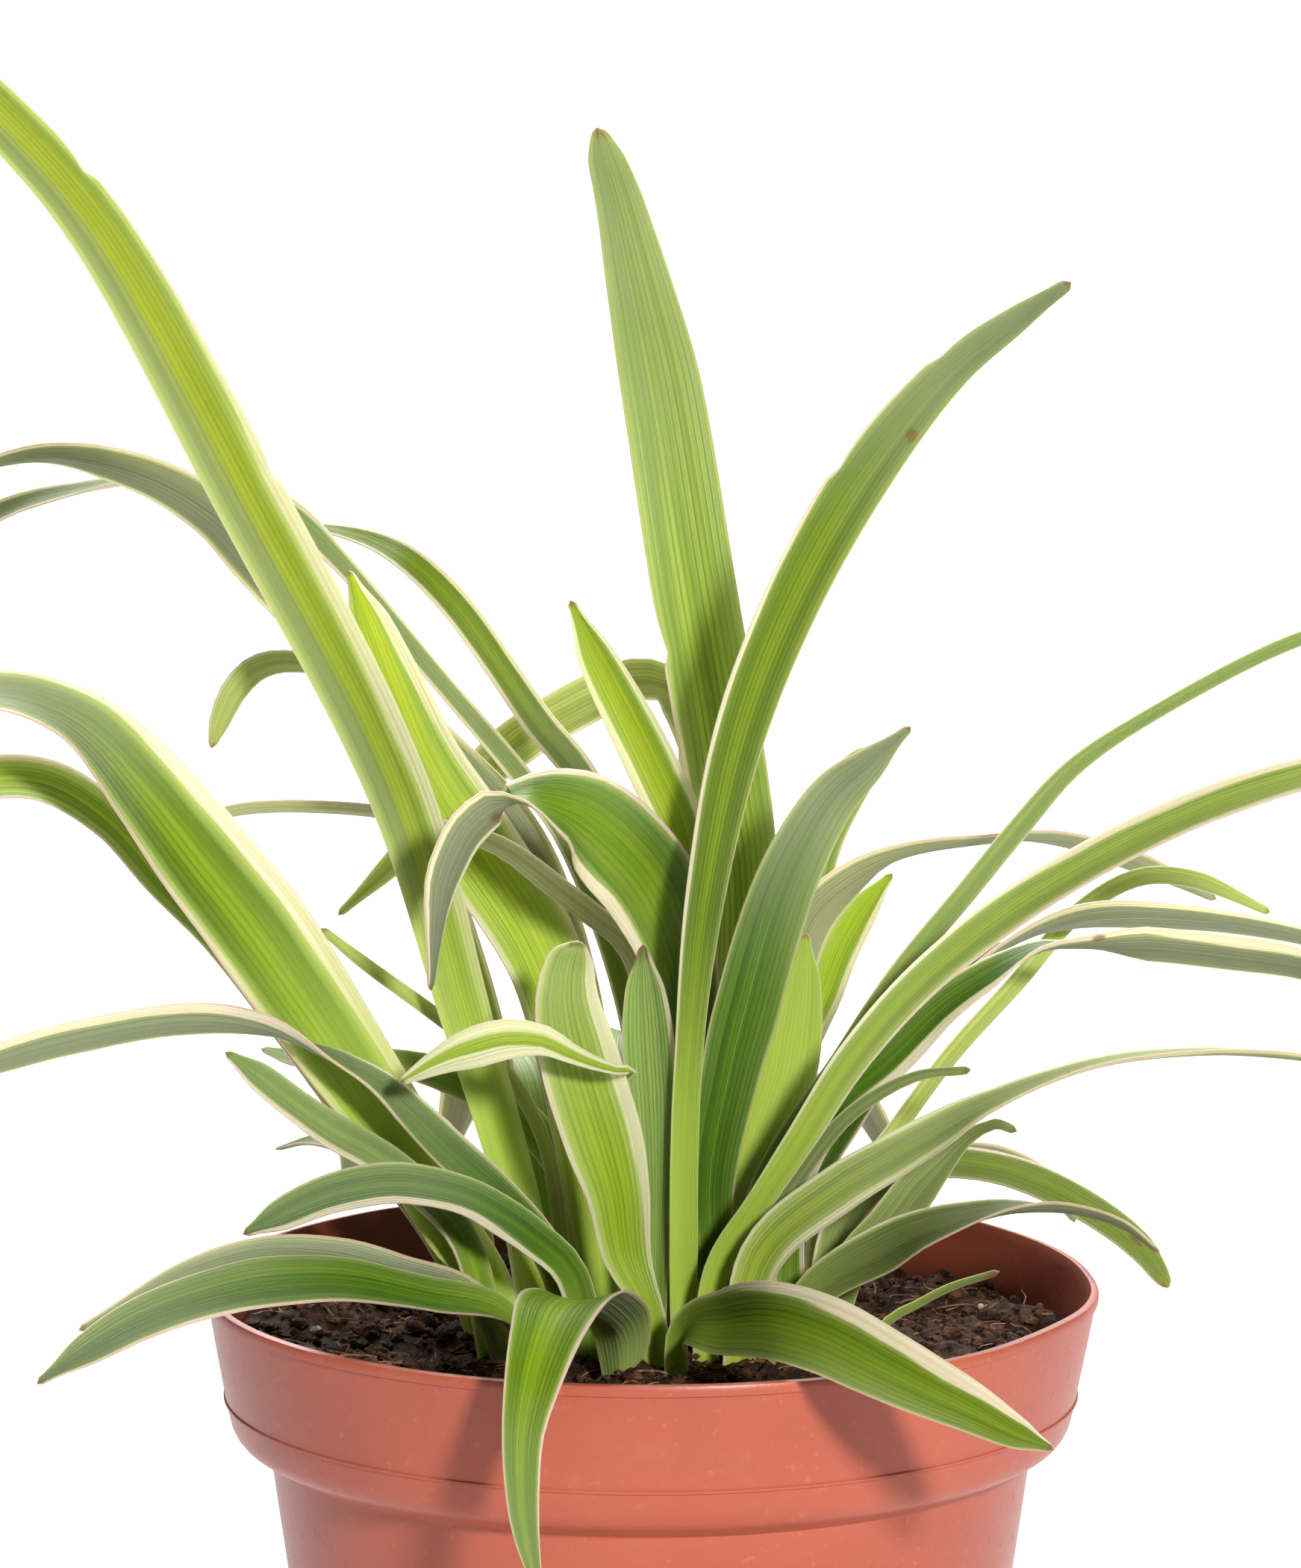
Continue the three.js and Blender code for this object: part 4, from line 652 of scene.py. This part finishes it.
def leaf_material(name, looks, length, seed):
    """Striped leaf: greens in long streaks, parallel veins, cream margins and a paler underside.

    The attribute "blade" gives each point's place across the blade from -1 to 1, its length along
    it in metres, and 1 on the underside.
    """
    m = Nodes(name)
    long = length * MM
    place = m.node("Attribute", attribute_name="blade").outputs["Vector"]
    across, along, under = m.node("SeparateXYZ", {0: place}).outputs
    share = m.math("DIVIDE", along, long)
    middle = m.math("ABSOLUTE", across)

    def drawn_out(wide, tall, offset, detail=2.0):
        """Noise from 0 to 1, stretched along the blade."""
        vector = m.vector(m.times(across, wide), m.times(along, tall), seed + offset)
        return m.noise(vector, 1.0, detail, 0.6)

    streaks = drawn_out(2.6, 8, 0, 3.0)
    threads = drawn_out(9, 9, 20)
    fine = drawn_out(26, 3, 40)
    blotches = drawn_out(3, 60, 60, 3.0)
    sway = m.minus(drawn_out(0.5, 26, 80), 0.5)

    # Green of the upper face with a lighter middle, dark parallel veins and thin pale lines
    dark, light, centre, vein = GREENS[looks["green"]]
    green = m.mix(m.step(streaks, 0.36, 0.64), dark, light)
    band = m.step(m.plus(middle, m.times(m.minus(threads, 0.5), 0.6)), 0.42, 0.04)
    green = m.mix(m.step(middle, 0.3, 0.85, 0.0, looks["sides"]), green, SIDE_GREEN)
    green = m.mix(m.times(band, looks["centre"]), green, centre)
    wave = m.plus(m.times(across, VEIN_COUNT * math.pi), m.times(threads, 3.0))
    lines = m.step(m.math("SINE", wave), 0.2, 0.95)
    veins = m.times(lines, m.step(fine, 0.3, 0.6, 0.3, 1.0))
    green = m.mix(m.times(veins, looks["veins"]), green, vein)
    green = m.mix(m.step(fine, 0.6, 0.72, 0.0, 0.3), green, PALE_GREEN)
    green = m.mix(m.step(blotches, 0.45, 0.75, 0.0, 0.25), green, dark)
    # Thin pale line along the middle: the midrib, and on some leaves a painted highlight
    green = m.mix(m.step(middle, 0.0, 0.035, looks["rib"], 0.0), green, PALE_GREEN)
    # Per-leaf factors on the greens; on leaves that lie in shade, large ones paint light on them
    green = m.node("VectorMath", {0: green, 1: looks["tint"]}, operation="MULTIPLY").outputs[0]

    # Underside, greyer and lighter; the upper face may be so on one side, or carry a painted greyish sheen
    # over a part of its length
    grey = m.mix(m.step(threads, 0.3, 0.7), *UNDERSIDE)
    grey = m.mix(m.times(veins, 0.35), grey, UNDERSIDE_VEINS)
    green = m.mix(m.times(under, looks["under"]), green, grey)
    side, greyness = looks["grey_side"]
    green = m.mix(m.step(m.times(across, side), 0.1, 0.4, 0.0, greyness), green, grey)
    bright_at, dull_at, dullness = looks["dull"]
    sheen_colour = m.mix(m.step(threads, 0.3, 0.7), *SHEEN_GREYS)
    green = m.mix(m.step(share, bright_at, dull_at, 0.0, dullness), green, sheen_colour)

    # Cream margins: they waver in width, fade through pale green and carry fine green lines
    loose = m.times(m.minus(threads, 0.5), 0.22)
    cream = m.mix(m.step(fine, 0.4, 0.66), looks["margin"], CREAM_YELLOW)
    cream = m.mix(m.step(threads, 0.46, 0.64, 0.0, 0.5), cream, CREAM_GREEN)
    colour = green
    for side, values in ((1, looks["left"]), (-1, looks["right"])):
        width = values[0]
        spans = len(values) - 1
        for i in range(spans):
            growth = m.line(share, i / spans, (i + 1) / spans, 0.0, values[i + 1] - values[i])
            width = m.plus(width, growth)
        width = m.times(width, m.plus(m.times(sway, 1.6 * side), 1.0))
        inside = m.minus(m.plus(m.times(across, side), width), 1.0)
        frayed = m.plus(inside, m.times(loose, m.step(width, 0.05, 0.3, 0.25, 1.0)))
        fade = m.step(frayed, -looks["soft"], 0.04, 0.0, looks["fade"])
        colour = m.mix(m.times(fade, m.step(fine, 0.3, 0.6, 0.5, 1.0)), colour, PALE_GREEN)
        edge = m.mix(m.step(width, 0.06, 0.2), THIN_MARGIN, cream)
        strength = m.step(width, 0.02, 0.12, 0.4, 0.95)
        colour = m.mix(m.times(m.step(frayed, -0.02, 0.05), strength), colour, edge)

    # Paler foot, partly real and partly painted light on lower parts in shade, brown hairline along the
    # edges, dry tip and dents
    paleness_and_light, reach = looks["foot"]
    colour = m.mix(m.step(along, 0.3 * reach * MM, reach * MM, paleness_and_light, 0.0), colour, FOOT_GREEN_AND_LIGHT)
    colour = m.mix(m.step(middle, 0.95, 1.0, 0.0, 0.5), colour, EDGE_BROWN)
    dry = looks["tip"] * MM
    edge = m.plus(along, m.times(m.minus(blotches, 0.5), 2 * dry))
    colour = m.mix(m.step(edge, long - dry, long - 0.2 * dry, 0.0, 0.85), colour, TIP_BROWN)
    for spot_across, spot_share in looks["spots"]:
        side_way = m.times(m.minus(across, spot_across), 0.004)
        long_way = m.minus(along, spot_share * long)
        away = m.math("SQRT", m.plus(m.math("POWER", side_way, 2.0), m.math("POWER", long_way, 2.0)))
        wobble = m.times(m.minus(blotches, 0.5), 0.002)
        colour = m.mix(m.step(m.plus(away, wobble), 0.0005, 0.0013, 0.8, 0.0), colour, TIP_BROWN)
    if looks["specks"]:
        dots = drawn_out(12, 700, 90)
        low = m.step(share, 0.2, 0.55, looks["specks"], 0.0)
        colour = m.mix(m.times(m.step(dots, 0.55, 0.62), low), colour, CREAM)

    # Satin skin that lets light through, with raised veins
    rough = m.line(fine, 0.3, 0.7, 0.4, 0.52)
    relief = m.plus(m.times(veins, -0.5), m.plus(fine, threads))
    m.set(
        Base_Color=colour,
        Roughness=m.plus(rough, m.times(under, 0.12)),
        Normal=m.bump(relief, 0.00035, 0.5),
        Subsurface_Weight=0.8,
        Subsurface_Radius=(1.0, 1.0, 0.75),
        Subsurface_Scale=0.0016,
        Specular_IOR_Level=0.22,
    )
    return m.material


# Pot

# Outside from the foot up to the lip, (radius, height): body, step line, curved shoulder,
# a fine raised line and the deep collar
POT_OUTSIDE = [
    (39.5, 0), (39.9, 0.25), (FOOT_RADIUS, 0.8), (49, 66), (51.4, 82.7), (51.8, 83.0), (52.6, 83.4),
    (54, 84.1), (54.8, 84.5), (55.5, 85.0), (56.1, 85.7), (56.6, 86.7), (56.95, 88.2), (57.3, 89.8),
    (57.6, 90.0), (57.62, 90.3), (57.42, 90.5), (57.6, 91.6), (58.9, 98.8), (59.5, 102.6),
    (59.62, 103.3), (59.95, 103.5), (RIM_RADIUS, 103.8), (RIM_RADIUS, 104.5), (59.85, 104.85),
    (59.5, POT_HEIGHT),
]
# Inside from the floor up to the lip
POT_INSIDE = [
    (38.2, FLOOR_TOP), (39.4, 7), (47.8, 66), (50.2, 83.6), (52.8, 85.4), (55.4, 88), (56.4, 92),
    (58.3, 103.6), (58.75, 104.7), (58.95, POT_HEIGHT),
]
# Where the thin rim is pushed out of round: (angle in degrees, reach in degrees, by how much)
RIM_BENDS = [(-8, 16, 0.5), (-30, 14, -0.45), (150, 30, 0.3)]
BENDS_FROM = 80
# Colours of the plastic, dark and light, and of what marks it
PLASTIC = ((160, 78, 58), (170, 86, 65))
PLASTIC_FLOW = (154, 72, 54)
PLASTIC_GRAIN = (190, 108, 86)
PLASTIC_SPECK = (230, 200, 180)
PLASTIC_DUST = (194, 134, 112)
# Painted shade for the inside of the pot, darker and lighter
PLASTIC_INSIDE_SHADE = ((92, 40, 26), (124, 58, 40))


def ring_faces(first, sides, rings):
    """Faces of a closed body: rings of points, with one more point before them and one after."""
    faces = []
    last = first + 1 + rings * sides
    for i in range(sides):
        j = (i + 1) % sides
        faces.append((first, first + 1 + j, first + 1 + i))
        for low in range(first + 1, last - sides, sides):
            high = low + sides
            faces.append((low + i, low + j, high + j, high + i))
        faces.append((last - sides + i, last - sides + j, last))
    return faces


def lathe(profile, sides):
    """Points and faces of a profile of (radius, height) turned about +Z; its ends lie on the axis."""
    points = [(0, 0, profile[0][1])]
    for r, z in profile[1:-1]:
        for i in range(sides):
            angle = 2 * math.pi * i / sides
            points.append((r * math.cos(angle), r * math.sin(angle), z))
    points.append((0, 0, profile[-1][1]))
    return points, ring_faces(0, sides, len(profile) - 2)


def apply_modifiers(piece):
    """Piece's mesh as its modifiers show it, with the modifiers removed."""
    shown = piece.evaluated_get(bpy.context.evaluated_depsgraph_get())
    mesh = bpy.data.meshes.new_from_object(shown)
    piece.modifiers.clear()
    piece.data = mesh


def pot_piece():
    """Thin-walled pot with a slightly bent rim, a foot ring and drain holes."""
    ring_inside = FOOT_RADIUS - FOOT_RING_WIDTH
    profile = [(0, FLOOR_UNDER), (ring_inside - 1, FLOOR_UNDER), (ring_inside, 0)]
    profile += POT_OUTSIDE + POT_INSIDE[::-1] + [(0, FLOOR_TOP)]
    points, faces = lathe(profile, POT_SIDES)
    bent = []
    for x, y, z in points:
        angle = math.degrees(math.atan2(y, x))
        push = 0
        for middle, reach, by in RIM_BENDS:
            away = abs((angle - middle + 180) % 360 - 180) / reach
            push += by * max(0, 1 - away * away) ** 2
        push *= max(0, (z - BENDS_FROM) / (POT_HEIGHT - BENDS_FROM)) ** 2
        radius = math.hypot(x, y) or 1
        bent.append((x * (1 + push / radius), y * (1 + push / radius), z))
    piece = make("pot_shell", bent, faces, pot_material(), sharp=32)

    drains, drain_faces = [], []
    pin = [(0, 0), (DRAIN_RADIUS, 0), (DRAIN_RADIUS, DRAIN_CUT), (0, DRAIN_CUT)]
    for i in range(DRAIN_HOLES):
        angle = (i + 0.5) / DRAIN_HOLES * 2 * math.pi
        x, y = DRAIN_CIRCLE * math.cos(angle), DRAIN_CIRCLE * math.sin(angle)
        first = len(drains)
        round_points, round_faces = lathe(pin, DRAIN_SIDES)
        drains += [(px + x, py + y, pz) for px, py, pz in round_points]
        drain_faces += [tuple(first + k for k in face) for face in round_faces]
    cutter = make("drain_cutter", drains, drain_faces, piece.data.materials[0])
    cut = piece.modifiers.new("drains", "BOOLEAN")
    cut.operation = "DIFFERENCE"
    cut.solver = "EXACT"
    cut.object = cutter
    apply_modifiers(piece)
    bpy.data.objects.remove(cutter)
    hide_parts("pot")


def pot_material():
    """Terracotta-coloured plastic: satin, faintly cloudy, with dust specks, fine scuffs and painted shade
    inside.
    """
    m = Nodes("pot_plastic")
    place = m.node("TexCoord").outputs["Object"]
    clouds = m.noise(place, 24, 4.0)
    grain = m.noise(place, 900, 2.0)
    x, y, z = m.node("SeparateXYZ", {0: place}).outputs
    flow = m.noise(m.vector(x, y, m.times(z, 0.2)), 60, 3.0)
    colour = m.mix(m.step(clouds, 0.35, 0.65), *PLASTIC)
    colour = m.mix(m.step(flow, 0.5, 0.75, 0.0, 0.25), colour, PLASTIC_FLOW)
    colour = m.mix(m.step(grain, 0.62, 0.75, 0.0, 0.35), colour, PLASTIC_GRAIN)
    specks = m.node("TexVoronoi", {"Vector": place, "Scale": 150}, feature="F1")
    chosen = m.node("SeparateColor", {0: specks.outputs["Color"]}).outputs[0]
    near = m.step(specks.outputs["Distance"], 0.03, 0.06, 1.0, 0.0)
    dot = m.times(near, m.step(chosen, 0.93, 0.94))
    colour = m.mix(m.times(dot, 0.75), colour, PLASTIC_SPECK)
    dusty = m.step(m.noise(place, 70, 5.0, 0.65), 0.56, 0.8, 0.0, 0.16)
    colour = m.mix(dusty, colour, PLASTIC_DUST)

    # Inside, where the normal points to the axis, the plastic is darkened: painted shade in the hollow of
    # the pot
    normal = m.node("SeparateXYZ", {0: m.node("TexCoord").outputs["Normal"]}).outputs
    outward = m.plus(m.times(normal[0], x), m.times(normal[1], y))
    inside = m.step(outward, 0.005, -0.005, 0.0, 0.62)
    inside_shade = m.mix(m.step(clouds, 0.4, 0.7), *PLASTIC_INSIDE_SHADE)
    colour = m.mix(inside, colour, inside_shade)
    scuffs = m.noise(m.vector(m.times(x, 0.3), y, z), 420, 2.0)
    m.set(
        Base_Color=colour,
        Roughness=m.plus(m.line(clouds, 0.3, 0.7, 0.34, 0.44), m.step(scuffs, 0.6, 0.8, 0.0, 0.12)),
        Normal=m.bump(m.plus(grain, m.times(scuffs, 0.6)), 0.00012, 0.35),
        Specular_IOR_Level=0.34,
        Subsurface_Weight=0.05,
        Subsurface_Radius=(1.0, 0.4, 0.2),
        Subsurface_Scale=0.001,
    )
    return m.material


# Soil

# Height of its crumbly top, coarse and fine
COARSE_RELIEF = 1.3
FINE_RELIEF = 0.5
# Loose bits on it: how many, their sizes, light and dark colour, how far up they lie, and a seed
LOOSE_BITS = {
    "soil_crumbs": (2600, (0.35, 1.0), ((104, 68, 44), (30, 17, 10)), 0.25, 5),
    "soil_clods": (260, (1.0, 1.9), ((96, 60, 38), (30, 17, 10)), 0.1, 6),
    "soil_perlite": (20, (0.5, 1.1), ((236, 230, 218), (196, 188, 174)), 0.35, 7),
}
PEAT = ((72, 45, 29), (24, 13, 7))
FIBRE_COLOURS = ((176, 132, 94), (98, 68, 46))
FIBRE_LINES = (112, 84, 62)


def soil_height(x, y):
    """Height of the plain top of the soil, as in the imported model."""
    lumps = math.sin(0.19 * x + 0.8) * math.cos(0.23 * y - 0.5) + 0.5 * math.sin(0.11 * x - 0.31 * y)
    return SOIL_TOP + SOIL_RELIEF * lumps


def rough_height(x, y):
    """Height of the crumbly top of the soil, never far above the plain one."""
    coarse = noise.fractal(Vector((x * 0.16, y * 0.16, 3)), 1.0, 2.1, 4)
    fine = noise.noise(Vector((x * 0.9, y * 0.9, 8)))
    return soil_height(x, y) + COARSE_RELIEF * coarse + FINE_RELIEF * fine


def soil_piece():
    """Body of the soil, a little off the inside of the pot, with a crumbly top."""
    rings = [(SOIL_REACH * (1 - i / SOIL_RINGS), SOIL_TOP) for i in range(SOIL_RINGS)]
    side = [(r - GAP, z + GAP / 2) for r, z in POT_INSIDE if z < SOIL_TOP - 2]
    points, faces = lathe([(0, FLOOR_TOP + GAP)] + side + rings + [(0, SOIL_TOP)], SOIL_SIDES)
    raised = [(x, y, rough_height(x, y)) if z > SOIL_TOP - 1 else (x, y, z) for x, y, z in points]
    piece = make("soil_body", raised, faces, soil_material("peat", *PEAT), sharp=80)
    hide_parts("soil")


def soil_material(name, light, dark):
    """Moist peat: dark crumbs with lighter fibres."""
    m = Nodes(name)
    place = m.node("TexCoord").outputs["Object"]
    crumbs = m.noise(place, 420, 6.0, 0.7)
    clumps = m.noise(place, 90, 3.0)
    cells = m.node("TexVoronoi", {"Vector": place, "Scale": 900}, feature="DISTANCE_TO_EDGE")
    fibres = cells.outputs["Distance"]
    colour = m.mix(m.step(crumbs, 0.4, 0.66), dark, light)
    colour = m.mix(m.step(clumps, 0.5, 0.7, 0.0, 0.5), colour, dark)
    colour = m.mix(m.step(fibres, 0.0, 0.04, 0.35, 0.0), colour, FIBRE_LINES)
    m.set(
        Base_Color=colour,
        Roughness=m.line(crumbs, 0.3, 0.7, 1.0, 0.8),
        Normal=m.bump(crumbs, 0.0012, 0.9),
        Specular_IOR_Level=0.18,
    )
    return m.material


def lump(points, faces, centre, size, draw):
    """Adds a small uneven stone-like body of six sides."""
    first = len(points)
    rings = ((0.75, -0.5), (1.0, 0.05), (0.7, 0.55))
    turn = draw.random() * math.pi
    tall = draw.uniform(0.55, 1.0)
    points.append((centre[0], centre[1], centre[2] - size * tall))
    for ring, (reach, rise) in enumerate(rings):
        for i in range(6):
            angle = turn + (i + ring * 0.5) * math.pi / 3
            r = size * reach * draw.uniform(0.7, 1.15)
            z = centre[2] + size * tall * (rise + draw.uniform(-0.15, 0.15))
            points.append((centre[0] + r * math.cos(angle), centre[1] + r * math.sin(angle), z))
    points.append((centre[0], centre[1], centre[2] + size * tall))
    faces += ring_faces(first, 6, len(rings))


def place_on_soil(draw, reach):
    """Random place on the soil, at most reach from the axis."""
    angle = draw.uniform(0, 2 * math.pi)
    r = reach * math.sqrt(draw.random())
    return r * math.cos(angle), r * math.sin(angle)


def crumbs(name, count, sizes, colours, lift, seed):
    """Loose bits that lie on the soil."""
    draw = random.Random(seed)
    points, faces = [], []
    for _ in range(count):
        x, y = place_on_soil(draw, CRUMB_REACH)
        size = draw.uniform(*sizes)
        lump(points, faces, (x, y, rough_height(x, y) + size * lift), size, draw)
    make(name, points, faces, soil_material(name, *colours), sharp=30)


def fibre_piece():
    """Fine peat fibres that lie on the soil and stick out of it a little."""
    draw = random.Random(11)
    points, faces = [], []
    for _ in range(FIBRES):
        x, y = place_on_soil(draw, FIBRE_START_REACH)
        heading = draw.uniform(0, 2 * math.pi)
        step = draw.uniform(*FIBRE_STEP)
        radius = draw.uniform(*FIBRE_RADIUS)
        z = rough_height(x, y) - 0.1
        climb = draw.uniform(*FIBRE_CLIMB)
        first = len(points)
        for k in range(FIBRE_STEPS + 1):
            for i in range(3):
                angle = 2 * math.pi * i / 3
                points.append((
                    x - radius * math.sin(heading) * math.cos(angle),
                    y + radius * math.cos(heading) * math.cos(angle),
                    z + radius * math.sin(angle),
                ))
            if k < FIBRE_STEPS:
                for i in range(3):
                    j = (i + 1) % 3
                    a = first + 3 * k
                    faces.append((a + i, a + j, a + 3 + j, a + 3 + i))
            heading += draw.uniform(*FIBRE_TURN)
            x += step * math.cos(heading)
            y += step * math.sin(heading)
            if math.hypot(x, y) < FIBRE_LYING_REACH:
                z = max(z + climb, rough_height(x, y) + 0.05)
            climb -= FIBRE_DROOP
        last = first + 3 * FIBRE_STEPS
        faces.append((first + 2, first + 1, first))
        faces.append((last, last + 1, last + 2))
    inside = [kept_inside(*point) for point in points]
    make("soil_fibres", inside, faces, soil_material("soil_fibres", *FIBRE_COLOURS))


def kept_inside(x, y, z):
    """Point of a fibre, drawn in where it would touch the pot."""
    reach = math.hypot(x, y)
    if reach < FIBRE_END_REACH:
        return x, y, z
    share = FIBRE_END_REACH / reach
    return x * share, y * share, z


def dress_crowns():
    """Rootstocks hidden in the soil: pale, slightly rough skin."""
    m = Nodes("rootstock")
    place = m.node("TexCoord").outputs["Object"]
    skin = m.noise(place, 300, 4.0)
    colour = m.mix(m.step(skin, 0.35, 0.65), (196, 180, 140), (228, 218, 186))
    m.set(Base_Color=colour, Roughness=m.line(skin, 0.3, 0.7, 0.6, 0.8), Normal=m.bump(skin, 0.0004, 0.5))
    for name in ("crown_left", "crown_right", "crown_back"):
        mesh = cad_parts[name].data
        mesh.materials.clear()
        mesh.materials.append(m.material)


# Floor, light and camera


def floor_piece():
    """Plain pale floor."""
    m = Nodes("floor")
    place = m.node("TexCoord").outputs["Object"]
    shade = m.noise(place, 3, 3.0)
    m.set(Base_Color=m.mix(shade, (230, 230, 232), (226, 226, 229)), Roughness=0.6)
    mesh = bpy.data.meshes.new("floor")
    r = FLOOR_REACH
    mesh.from_pydata([(-r, -r, 0), (r, -r, 0), (r, r, 0), (-r, r, 0)], [], [(0, 1, 2, 3)])
    mesh.materials.append(m.material)
    floor = add("floor", mesh)


def area_light(name, place, target, size, power, colour):
    """Round light that faces its target."""
    data = bpy.data.lights.new(name, "AREA")
    data.shape = "DISK"
    data.size = size
    data.energy = power
    data.color = colour
    lamp = add(name, data)
    lamp.location = place
    lamp.rotation_euler = (Vector(target) - Vector(place)).to_track_quat("-Z", "Y").to_euler()


def light_room():
    """Even white surroundings and the studio's lights."""
    world = bpy.data.worlds.new("studio")
    world.use_nodes = True
    background = world.node_tree.nodes["Background"]
    background.inputs["Color"].default_value = (1, 1, 1, 1)
    background.inputs["Strength"].default_value = WORLD_STRENGTH
    bpy.context.scene.world = world
    for name, values in LIGHTS.items():
        area_light(name, *values)


def camera():
    data = bpy.data.cameras.new("camera")
    data.sensor_width = SENSOR_WIDTH
    data.lens = CAMERA_LENS
    data.clip_start = 0.05
    data.clip_end = 100
    eye = add("camera", data)
    eye.location = CAMERA_PLACE
    eye.rotation_euler = (math.radians(CAMERA_ANGLE), 0, 0)
    bpy.context.scene.camera = eye


pot_piece()
soil_piece()
for bits, values in LOOSE_BITS.items():
    crumbs(bits, *values)
fibre_piece()
for number, entry in enumerate(LEAVES):
    blade(*entry, seed=number + 1)
dress_crowns()
floor_piece()
light_room()
camera()
bpy.context.scene.view_settings.view_transform = "Standard"
